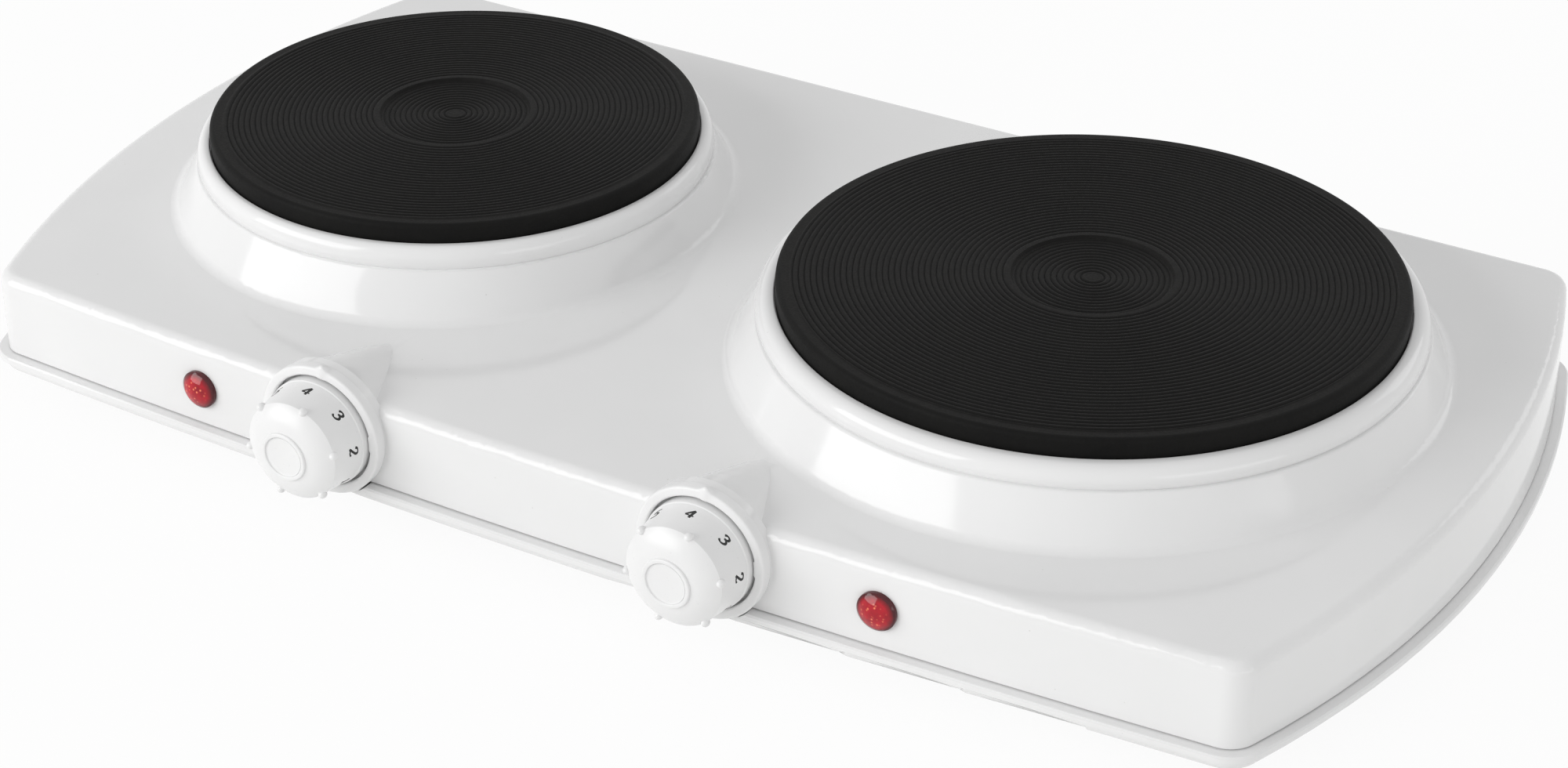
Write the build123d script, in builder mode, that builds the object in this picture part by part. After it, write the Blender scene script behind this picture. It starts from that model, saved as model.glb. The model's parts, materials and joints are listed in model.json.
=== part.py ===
from build123d import *
import os
from dataclasses import dataclass
from math import asin, cos, degrees, radians, sin, sqrt, tan

# Free-standing electric hot plate: a large and a small cast iron plate on one pressed steel housing.
# Millimetres, +Z up, +X to the right seen from the front, -Y towards the user.
# The origin is on the table under the middle of the object.

# Plan of the housing
END_MIDDLE_Y = 13.5         # furthest point of the bowed end walls
END_BOW = 22.7              # end wall beyond its front corner
FRONT_BOW = 6.3
FRONT_MARGIN = 24.2         # front corners in front of the large boss
BACK_MARGIN = 14.5          # back wall behind the large boss
LARGE_END_MARGIN = 28.7     # end wall beyond the large boss
SMALL_END_MARGIN = 31.7
BURNER_GAP = 41.0           # between the rims of the two bosses
CORNER_RADIUS = 9.0
EDGE_RADIUS = 4.0
SHEET = 1.0                 # thickness of the pressed steel

# Levels, from the table up
FOOT_HEIGHT = 8.5
TRAY_HEIGHT = 6.1
SHADOW_GAP = 0.4
FRONT_WALL = 26.5
BACK_WALL = 32.0
BOSS_RISE = 10.0            # boss above the housing's back edge
RING_RISE = 7.0             # trim ring above the boss
PLATE_PROUD = 6.0           # plate above its trim ring

# Base tray
LIP_REACH = 3.5             # lip beyond the housing wall
LIP_WIDTH = 9.5
LIP_HEIGHT = 2.0
PAN_REACH = 1.5             # pan below the lip, beyond the housing wall
TRAY_EDGE_RADIUS = 2.5
NOTCH_GAP = 0.5             # round notch for a dial, beyond its bezel
NOTCH_DEPTH = 5.0           # notch behind the dial seat

# Burners
LARGE_Y = 17.0
LARGE_PLATE_DIAMETER = 185.0
LARGE_RING_WIDTH = 6.0
SMALL_Y = 12.0
SMALL_PLATE_DIAMETER = 155.0
SMALL_RING_WIDTH = 4.5
BOSS_MARGIN = 0.5           # flat of the boss beyond the trim ring
BOSS_FLANK_ANGLE = 27.5     # from the vertical
BOSS_BASE_RADIUS = 4.0
BOSS_RIM_RADIUS = 1.0
OPENING_STEP = 2.5          # housing opening inside the plate's edge
LEDGE_WIDTH = 6.0
PLATE_RIM_HEIGHT = 7.8
PLATE_RIM_RADIUS = 1.2
PLATE_BODY_DROP = 2.2       # plate body below its rim
RECESS_RADIUS = 24.0
RECESS_DEPTH = 1.0
ELEMENT_RADIUS = 2.0
ELEMENT_INNER_SHARE = 0.45  # element turns, as shares of the plate radius
ELEMENT_OUTER_SHARE = 0.7
SHIELD_SHEET = 0.8
SHIELD_DEPTH = 8.0
SHIELD_FLANGE = 5.0
SHIELD_FLARE = 8.0
BRIDGE_WIDTH = 18.0
BRIDGE_SHEET = 2.5
BRIDGE_LAP = 5.0            # bridge end under the boss
BRIDGE_JOG = 13.0
STUD_RADIUS = 3.0
STUD_SEAT = 6.0
STUD_END = 0.5              # stud below the tray nut
NUT_FLATS = 10.0
NUT_THICKNESS = 5.0
BLOCK_LENGTH = 24.0
BLOCK_DEPTH = 12.0
BLOCK_HEIGHT = 9.0
BLOCK_SETBACK = 32.0        # plate terminal block in front of the stud

# Dial controls
DIAL_LEFT_X = -78.5
DIAL_RIGHT_X = 51.5
DIAL_Z = 30.5
SEAT_PROUD = 0.3            # flat face that the bezel sits on, in front of the housing
CUP_STEP = 0.2              # cup's edge inside the bezel's
CUP_DEPTH = 3.0
FAIRING_STEP = 1.2          # fairing's front edge inside the cup's
FAIRING_LENGTH = 31.0
FAIRING_END_RADIUS = 5.5
FAIRING_SINK = 0.6          # fairing's tail below the housing top
BEZEL_RADIUS = 20.8
BEZEL_WALL = 3.0
BEZEL_DEPTH = 3.6
POINTER_WIDTH = 3.4
POINTER_REACH = 1.6
POINTER_DEPTH = 2.2
POINTER_ANGLE = 6.0         # clockwise from the top
KNOB_REACH = 21.2           # knob's front beyond the seat
KNOB_CLEARANCE = 1.0        # knob's skirt inside the bezel's bore
KNOB_GAP = 0.7
KNOB_SHOULDER = 7.0
GRIP_STEP = 1.4
GRIP_SIDE = 9.6
KNOB_DOME_STEP = 5.0        # a point part way up the dome, in from the skirt
KNOB_DOME_REACH = 19.2
KNOB_FACE_RADIUS = 7.7
KNOB_BEAD = 1.2
KNOB_BEAD_RISE = 0.5
KNOB_WALL = 2.2
KNOB_CAVITY_DEPTH = 8.0
NUB_COUNT = 6
NUB_RADIUS = 1.2
NUB_ANGLE = 19.5            # first nub, clockwise from the top
SHAFT_RADIUS = 3.0
SHAFT_FLAT = 1.8            # flat from the shaft's axis
SHAFT_TAIL = 8.5            # shaft behind the seat
SHAFT_NOSE = 15.5           # shaft in front of the seat
BORE_FLAT = 2.5
BORE_DEPTH = 16.0
CLIP_SHEET = 0.6
CLIP_WIDTH = 3.0
BUSHING_RADIUS = 4.5
BUSHING_NOSE = 6.5
BUSHING_TAIL = 6.0
THERMOSTAT_WIDTH = 26.0
THERMOSTAT_HEIGHT = 19.0
THERMOSTAT_DEPTH = 22.0
SCREW_STEP = 1.4            # screw's head inside the knob's cavity
SCREW_RADIUS = 1.9
SCREW_HEAD_RADIUS = 3.2
SCREW_HEAD_HEIGHT = 1.6
SCREW_REACH = 9.0
TAB_WIDTH = 6.3
TAB_SHEET = 0.8
TAB_LENGTH = 8.0
TAB_SPREAD = 7.0

# Pilot lamps
LAMP_LEFT_X = -127.5
LAMP_RIGHT_X = 105.0
LAMP_Z = 27.0
LENS_RADIUS = 6.0
LENS_EDGE = 1.4
LENS_RISE = 3.2
LENS_TAIL_RADIUS = 4.8
LENS_TAIL = 9.0
LENS_BORE = 3.6
LENS_FRONT = 0.8
BULB_RADIUS = 3.2
BULB_TAIL = 7.0             # bulb behind the lens's tail
LAMP_CLIP_RADIUS = 8.0
LAMP_CLIP_SHEET = 0.6

# Supply inlet and wiring
GLAND_X = 0.0
GLAND_Z = 29.0
GLAND_RADIUS = 9.0
GLAND_FLANGE = 2.7
GLAND_TAIL_RADIUS = 7.0
GLAND_TAIL = 9.0
GLAND_BORE = 3.6
GLAND_NUT_FLATS = 20.0
GLAND_NUT_THICKNESS = 4.0
MAINS_X = -6.0
MAINS_SETBACK = 42.5        # block in front of the back wall
MAINS_LENGTH = 42.0
MAINS_DEPTH = 16.0
MAINS_HEIGHT = 15.0
MAINS_SCREWS = 3
MAINS_SCREW_PITCH = 13.0
EARTH_X = 40.0
LEAD_RADIUS = 1.4
LEAD_BEND = 9.0

# Feet
FOOT_END_INSET = 34.5       # from the front corners
FOOT_FRONT_INSET = 28.2
FOOT_BACK_INSET = 26.5
FOOT_RADIUS = 10.0
FOOT_TOP_RADIUS = 12.0
FOOT_SCREW_RADIUS = 2.0
FOOT_SCREW_HEAD = 4.0
FOOT_HEAD_HEIGHT = 2.5
FOOT_SEAT = 4.5             # screw seat above the table
FOOT_SCREW_REACH = 5.0      # screw above the tray floor

# Clearances
FIT = 0.05                  # fixed and running fits, on the radius
HOLE_GAP = 0.3              # clearance holes and loose neighbours

# Levels worked out from the sizes above
TRAY_FLOOR_Z = FOOT_HEIGHT + SHEET
TRAY_TOP_Z = FOOT_HEIGHT + TRAY_HEIGHT
WALL_FOOT_Z = TRAY_TOP_Z + SHADOW_GAP
BOSS_TOP_Z = WALL_FOOT_Z + BACK_WALL + BOSS_RISE
RING_TOP_Z = BOSS_TOP_Z + RING_RISE
PLATE_TOP_Z = RING_TOP_Z + PLATE_PROUD
PLATE_RIM_Z = PLATE_TOP_Z - PLATE_RIM_HEIGHT
PLATE_UNDER_Z = PLATE_RIM_Z - PLATE_BODY_DROP
SHIELD_Z = PLATE_UNDER_Z - SHIELD_DEPTH - SHIELD_SHEET
BRIDGE_Z = SHIELD_Z - BRIDGE_SHEET

# Plan worked out from the burners and the margins around them
LARGE_BOSS_RADIUS = LARGE_PLATE_DIAMETER / 2 + LARGE_RING_WIDTH + BOSS_MARGIN
SMALL_BOSS_RADIUS = SMALL_PLATE_DIAMETER / 2 + SMALL_RING_WIDTH + BOSS_MARGIN
BURNER_SPAN = 2 * SMALL_BOSS_RADIUS + BURNER_GAP + 2 * LARGE_BOSS_RADIUS
END_HALF_LENGTH = (SMALL_END_MARGIN + BURNER_SPAN + LARGE_END_MARGIN) / 2
CORNER_HALF_LENGTH = END_HALF_LENGTH - END_BOW
LARGE_X = END_HALF_LENGTH - LARGE_END_MARGIN - LARGE_BOSS_RADIUS
SMALL_X = SMALL_END_MARGIN + SMALL_BOSS_RADIUS - END_HALF_LENGTH
FRONT_CORNER_Y = LARGE_Y - LARGE_BOSS_RADIUS - FRONT_MARGIN
BACK_Y = LARGE_Y + LARGE_BOSS_RADIUS + BACK_MARGIN
SEAT_Y = FRONT_CORNER_Y - FRONT_BOW - SEAT_PROUD
MAINS_Y = BACK_Y - MAINS_SETBACK
FOOT_X = CORNER_HALF_LENGTH - FOOT_END_INSET
FOOT_FRONT_Y = FRONT_CORNER_Y + FOOT_FRONT_INSET
FOOT_BACK_Y = BACK_Y - FOOT_BACK_INSET

# Arcs of the plan: each is set by its chord and its bow
FRONT_RADIUS = (CORNER_HALF_LENGTH**2 + FRONT_BOW**2) / (2 * FRONT_BOW)
FRONT_CENTRE_Y = FRONT_CORNER_Y - FRONT_BOW + FRONT_RADIUS
END_RADIUS = ((END_MIDDLE_Y - FRONT_CORNER_Y) ** 2 + END_BOW**2) / (2 * END_BOW)
END_CENTRE_X = END_RADIUS - END_HALF_LENGTH
TOP_SLOPE = (BACK_WALL - FRONT_WALL) / (BACK_Y - FRONT_CORNER_Y)
TALL = 2 * PLATE_TOP_Z      # longer than any cut through the object


@dataclass(frozen=True)
class Burner:
    """Place and radii of one cooking plate and what surrounds it."""

    name: str
    x: float
    y: float
    plate_radius: float
    boss_radius: float

    @property
    def ring_radius(self):
        return self.boss_radius - BOSS_MARGIN

    @property
    def opening_radius(self):
        return self.plate_radius - OPENING_STEP

    @property
    def ledge_radius(self):
        return self.plate_radius - LEDGE_WIDTH

    @property
    def body_radius(self):
        return self.ledge_radius - HOLE_GAP

    @property
    def element_turns(self):
        return [self.plate_radius * share for share in (ELEMENT_INNER_SHARE, ELEMENT_OUTER_SHARE)]


SMALL = Burner("small", SMALL_X, SMALL_Y, SMALL_PLATE_DIAMETER / 2, SMALL_BOSS_RADIUS)
LARGE = Burner("large", LARGE_X, LARGE_Y, LARGE_PLATE_DIAMETER / 2, LARGE_BOSS_RADIUS)
BURNERS = (SMALL, LARGE)
CUP_RADIUS = BEZEL_RADIUS - CUP_STEP
BEZEL_BORE = BEZEL_RADIUS - BEZEL_WALL
KNOB_RADIUS = BEZEL_BORE - KNOB_CLEARANCE
KNOB_DOME_RADIUS = KNOB_RADIUS - KNOB_DOME_STEP
KNOB_CAVITY_RADIUS = KNOB_RADIUS - KNOB_WALL
SCREW_SPREAD = KNOB_CAVITY_RADIUS - SCREW_HEAD_RADIUS - SCREW_STEP
DIALS = {"left": DIAL_LEFT_X, "right": DIAL_RIGHT_X}
LAMPS = {"left": LAMP_LEFT_X, "right": LAMP_RIGHT_X}
FEET = {
    "front_left": (-FOOT_X, FOOT_FRONT_Y),
    "front_right": (FOOT_X, FOOT_FRONT_Y),
    "back_left": (-FOOT_X, FOOT_BACK_Y),
    "back_right": (FOOT_X, FOOT_BACK_Y),
}


def keep(piece, label):
    """Label a finished piece and write its file."""
    piece.label = label
    export_step(piece, f"parts/{label}.step")


def section(origin, axis=(0, 0, 1), radial=(1, 0, 0)):
    """Plane of a turned profile: local x is the radius, local y runs along the turning axis."""
    return Plane(origin=origin, x_dir=radial, z_dir=Vector(*radial).cross(Vector(*axis)))


def turning_axis(plane):
    """Axis that a profile on a section plane turns about."""
    return Axis(plane.origin, plane.y_dir)


def turned(plane, *outlines):
    """Solids turned from closed outlines of (radius, height) points."""
    with BuildPart() as piece:
        for outline in outlines:
            with BuildSketch(plane):
                with BuildLine():
                    Polyline(*outline, close=True)
                make_face()
            revolve(axis=turning_axis(plane))
    return piece.part


def front_wall_y(x):
    """Outside of the bowed front wall at x."""
    return FRONT_CENTRE_Y - sqrt(FRONT_RADIUS**2 - x**2)


def front_wall_tangent(x):
    """Unit vector along the front wall at x."""
    return (sqrt(FRONT_RADIUS**2 - x**2) / FRONT_RADIUS, x / FRONT_RADIUS, 0)


def top_z(y):
    """Height of the housing's sloping top at y."""
    return WALL_FOOT_Z + FRONT_WALL + TOP_SLOPE * (y - FRONT_CORNER_Y)


def plan(growth):
    """Plan of the housing, moved outwards by growth: bowed front and ends, straight back."""
    with BuildSketch() as outline:
        with Locations((0, FRONT_CENTRE_Y)):
            Circle(FRONT_RADIUS + growth)
        for centre_x in (-END_CENTRE_X, END_CENTRE_X):
            with Locations((centre_x, END_MIDDLE_Y)):
                Circle(END_RADIUS + growth, mode=Mode.INTERSECT)
        with Locations((0, BACK_Y + growth)):
            Rectangle(2 * END_RADIUS, END_RADIUS, align=(Align.CENTER, Align.MAX), mode=Mode.INTERSECT)
        fillet(outline.vertices(), CORNER_RADIUS + growth)
    return outline.sketch


def fairing(x, inset):
    """Tapering bump behind a dial, sinking into the sloping top, drawn in by inset."""
    front_y = SEAT_Y + CUP_DEPTH
    tail_y = front_y + FAIRING_LENGTH
    tail_z = top_z(tail_y) - FAIRING_SINK - FAIRING_END_RADIUS
    with BuildPart() as bump:
        with BuildSketch(section((x, front_y, DIAL_Z), (0, 0, 1))):
            Circle(CUP_RADIUS - FAIRING_STEP - inset)
        with BuildSketch(section((x, tail_y, tail_z), (0, 0, 1))):
            Circle(FAIRING_END_RADIUS - inset)
        loft()
        split(bisect_by=Plane.XY.offset(WALL_FOOT_Z), keep=Keep.TOP)
    return bump.part


def housing_form(inset):
    """Closed form of the housing, drawn in from its outside by inset and open downwards where drawn in."""
    foot_z = WALL_FOOT_Z - inset
    flank = radians(BOSS_FLANK_ANGLE)
    boss_top_z = BOSS_TOP_Z - inset
    boss_base_z = top_z(FRONT_CORNER_Y) - inset - SHEET
    top_origin = (0, FRONT_CORNER_Y, top_z(FRONT_CORNER_Y))
    top_plane = Plane(origin=top_origin, x_dir=(1, 0, 0), z_dir=(0, -TOP_SLOPE, 1))
    with BuildPart() as form:
        with BuildSketch(Plane.XY.offset(foot_z)):
            add(plan(-inset))
        extrude(amount=TALL)
        split(bisect_by=top_plane.offset(-inset), keep=Keep.BOTTOM)
        top_face = form.faces().sort_by(Axis.Z)[-1]
        fillet(top_face.edges(), EDGE_RADIUS - inset)
        for burner in BURNERS:
            rim_radius = burner.boss_radius + inset * (tan(flank) - 1 / cos(flank))
            boss_height = boss_top_z - boss_base_z
            base_radius = rim_radius + boss_height * tan(flank)
            with Locations((burner.x, burner.y, boss_base_z)):
                Cone(base_radius, rim_radius, boss_height, align=(Align.CENTER, Align.CENTER, Align.MIN))
        if not inset:
            flanks = form.faces().filter_by(GeomType.CONE)
            fillet([face.edges().sort_by(Axis.Z)[0] for face in flanks], BOSS_BASE_RADIUS)
            rims = form.faces().filter_by(Axis.Z).sort_by(Axis.Z)[-len(BURNERS):]
            fillet(rims.edges(), BOSS_RIM_RADIUS)
        for x in DIALS.values():
            add(fairing(x, inset))
            with BuildSketch(section((x, SEAT_Y + inset, DIAL_Z), (0, 0, 1))):
                Circle(CUP_RADIUS - inset)
            extrude(amount=inset - CUP_DEPTH)
    return form.part


os.makedirs("parts", exist_ok=True)

# Housing: pressed steel shell with plate openings and holes for the dials, lamps and supply inlet
with BuildPart() as housing:
    add(housing_form(0))
    add(housing_form(SHEET), mode=Mode.SUBTRACT)
    for burner in BURNERS:
        with Locations((burner.x, burner.y, BOSS_TOP_Z)):
            Cylinder(burner.opening_radius, 4 * SHEET, mode=Mode.SUBTRACT)
    for x in DIALS.values():
        with BuildSketch(section((x, SEAT_Y, DIAL_Z))):
            Circle(BUSHING_RADIUS + HOLE_GAP)
            with Locations((-SCREW_SPREAD, 0), (SCREW_SPREAD, 0)):
                Circle(SCREW_RADIUS + HOLE_GAP)
        extrude(amount=-CUP_DEPTH, mode=Mode.SUBTRACT)
    for x in LAMPS.values():
        with BuildSketch(section((x, front_wall_y(x), LAMP_Z), radial=front_wall_tangent(x))):
            Circle(LENS_TAIL_RADIUS + FIT)
        extrude(amount=2 * SHEET, both=True, mode=Mode.SUBTRACT)
    with BuildSketch(section((GLAND_X, BACK_Y, GLAND_Z))):
        Circle(GLAND_TAIL_RADIUS + FIT)
    extrude(amount=2 * SHEET, both=True, mode=Mode.SUBTRACT)
keep(housing.part, "housing")

# Base tray: pan with a lip around it that stands out past the housing, notched round the dials
with BuildPart() as base_tray:
    with BuildSketch(Plane.XY.offset(FOOT_HEIGHT)):
        add(plan(PAN_REACH))
    extrude(amount=TRAY_HEIGHT)
    fillet(base_tray.faces().sort_by(Axis.Z)[0].edges(), TRAY_EDGE_RADIUS)
    with BuildSketch(Plane.XY.offset(TRAY_TOP_Z - LIP_HEIGHT)):
        add(plan(LIP_REACH))
    extrude(amount=LIP_HEIGHT)
    chamfer(base_tray.faces().sort_by(Axis.Z)[-1].edges(), SHEET / 2)
    with BuildSketch(Plane.XY.offset(TRAY_FLOOR_Z)):
        add(plan(PAN_REACH - TRAY_EDGE_RADIUS))
    extrude(amount=TRAY_HEIGHT - 2 * SHEET, mode=Mode.SUBTRACT)
    with BuildSketch(Plane.XY.offset(TRAY_FLOOR_Z)):
        add(plan(LIP_REACH - LIP_WIDTH))
    extrude(amount=TRAY_HEIGHT, mode=Mode.SUBTRACT)
    for x in DIALS.values():
        with BuildSketch(section((x, SEAT_Y + NOTCH_DEPTH, DIAL_Z))):
            Circle(BEZEL_RADIUS + NOTCH_GAP)
        extrude(amount=2 * KNOB_REACH, mode=Mode.SUBTRACT)
    with Locations(*[(burner.x, burner.y, FOOT_HEIGHT) for burner in BURNERS]):
        Cylinder(STUD_RADIUS + HOLE_GAP, 4 * SHEET, mode=Mode.SUBTRACT)
    with Locations(*[(x, y, FOOT_HEIGHT) for x, y in FEET.values()]):
        Cylinder(FOOT_SCREW_RADIUS + FIT, 4 * SHEET, mode=Mode.SUBTRACT)
    with Locations((EARTH_X, MAINS_Y, FOOT_HEIGHT)):
        Cylinder(SCREW_RADIUS + FIT, 4 * SHEET, mode=Mode.SUBTRACT)
keep(base_tray.part, "base_tray")

# Burners: plate, trim ring, element, heat shield, clamp bridge, stud, nuts and terminal block
for burner in BURNERS:
    centre = section((burner.x, burner.y, 0))
    axis = turning_axis(centre)
    channel = ELEMENT_RADIUS + HOLE_GAP

    with BuildPart() as plate:
        with BuildSketch(centre):
            with BuildLine():
                Polyline(
                    (0, PLATE_TOP_Z - RECESS_DEPTH),
                    (RECESS_RADIUS - RECESS_DEPTH, PLATE_TOP_Z - RECESS_DEPTH),
                    (RECESS_RADIUS, PLATE_TOP_Z),
                    (burner.plate_radius, PLATE_TOP_Z),
                    (burner.plate_radius, PLATE_RIM_Z),
                    (burner.body_radius, PLATE_RIM_Z),
                    (burner.body_radius, PLATE_UNDER_Z),
                    (STUD_RADIUS + FIT, PLATE_UNDER_Z),
                    (STUD_RADIUS + FIT, PLATE_UNDER_Z + STUD_SEAT),
                    (0, PLATE_UNDER_Z + STUD_SEAT),
                    close=True,
                )
            make_face()
            for turn in burner.element_turns:
                with Locations((turn, PLATE_UNDER_Z)):
                    Rectangle(2 * channel, 2 * channel, align=(Align.CENTER, Align.MIN), mode=Mode.SUBTRACT)
        revolve(axis=axis)
        rim = plate.edges().filter_by(GeomType.CIRCLE).group_by(Axis.Z)[-1].sort_by(SortBy.RADIUS)[-1]
        fillet(rim, PLATE_RIM_RADIUS)
    keep(plate.part, f"{burner.name}_plate")

    collar = burner.plate_radius + HOLE_GAP
    crown = collar + SHEET
    crown_width = burner.ring_radius - crown
    with BuildPart() as trim_ring:
        with BuildSketch(centre):
            with BuildLine():
                EllipticalCenterArc((crown, BOSS_TOP_Z), crown_width, RING_RISE, start_angle=0, arc_size=90)
                Polyline(
                    (crown, RING_TOP_Z),
                    (collar, RING_TOP_Z),
                    (collar, PLATE_RIM_Z),
                    (burner.ledge_radius, PLATE_RIM_Z),
                    (burner.ledge_radius, PLATE_RIM_Z - SHEET),
                    (crown, PLATE_RIM_Z - SHEET),
                    (crown, RING_TOP_Z - SHEET),
                )
                EllipticalCenterArc(
                    (crown, BOSS_TOP_Z), crown_width - SHEET, RING_RISE - SHEET, start_angle=0, arc_size=90
                )
                Line((burner.ring_radius - SHEET, BOSS_TOP_Z), (burner.ring_radius, BOSS_TOP_Z))
            make_face()
        revolve(axis=axis)
    keep(trim_ring.part, f"{burner.name}_trim_ring")

    with BuildPart() as element:
        with Locations((burner.x, burner.y, PLATE_UNDER_Z + channel)):
            for turn in burner.element_turns:
                Torus(turn, ELEMENT_RADIUS)
    keep(element.part, f"{burner.name}_element")

    flange_outer = burner.body_radius - HOLE_GAP
    flange_inner = flange_outer - SHIELD_FLANGE
    dish = flange_inner - SHIELD_FLARE
    shield_floor = SHIELD_Z + SHIELD_SHEET
    shield_lip = PLATE_UNDER_Z - SHIELD_SHEET
    heat_shield = turned(
        centre,
        [
            (STUD_RADIUS + HOLE_GAP, SHIELD_Z),
            (dish, SHIELD_Z),
            (flange_inner, shield_lip),
            (flange_outer, shield_lip),
            (flange_outer, PLATE_UNDER_Z),
            (flange_inner - SHIELD_SHEET, PLATE_UNDER_Z),
            (dish - SHIELD_SHEET, shield_floor),
            (STUD_RADIUS + HOLE_GAP, shield_floor),
        ],
    )
    keep(heat_shield, f"{burner.name}_heat_shield")

    boss_under_z = BOSS_TOP_Z - SHEET
    bridge_end = burner.opening_radius + BRIDGE_LAP
    jog_start = burner.opening_radius + HOLE_GAP
    jog_end = jog_start - BRIDGE_JOG
    half_bridge = [
        (bridge_end, boss_under_z),
        (jog_start, boss_under_z),
        (jog_end, SHIELD_Z),
    ]
    with BuildPart() as clamp_bridge:
        with BuildSketch(centre):
            with BuildLine():
                upper = half_bridge + [(-r, z) for r, z in reversed(half_bridge)]
                lower = [(r, z - BRIDGE_SHEET) for r, z in reversed(upper)]
                Polyline(*upper, *lower, close=True)
            make_face()
        extrude(amount=BRIDGE_WIDTH / 2, both=True)
        with Locations((burner.x, burner.y, SHIELD_Z)):
            Cylinder(STUD_RADIUS + HOLE_GAP, 4 * BRIDGE_SHEET, mode=Mode.SUBTRACT)
    keep(clamp_bridge.part, f"{burner.name}_clamp_bridge")

    stud_foot = FOOT_HEIGHT - NUT_THICKNESS - STUD_END
    stud_head = PLATE_UNDER_Z + STUD_SEAT - FIT
    with BuildPart() as plate_stud:
        with Locations((burner.x, burner.y, stud_foot)):
            Cylinder(STUD_RADIUS, stud_head - stud_foot, align=(Align.CENTER, Align.CENTER, Align.MIN))
    keep(plate_stud.part, f"{burner.name}_plate_stud")

    for label, nut_top in (("bridge_nut", BRIDGE_Z), ("tray_nut", FOOT_HEIGHT)):
        with BuildPart() as nut:
            with BuildSketch(Plane((burner.x, burner.y, nut_top))):
                RegularPolygon(NUT_FLATS / 2, 6, major_radius=False)
                Circle(STUD_RADIUS + FIT, mode=Mode.SUBTRACT)
            extrude(amount=-NUT_THICKNESS)
        keep(nut.part, f"{burner.name}_{label}")

    with BuildPart() as plate_block:
        with Locations((burner.x, burner.y - BLOCK_SETBACK, SHIELD_Z)):
            Box(BLOCK_LENGTH, BLOCK_DEPTH, BLOCK_HEIGHT, align=(Align.CENTER, Align.CENTER, Align.MAX))
        fillet(plate_block.edges().filter_by(Axis.Z), SHEET)
    keep(plate_block.part, f"{burner.name}_terminal_block")

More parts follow.
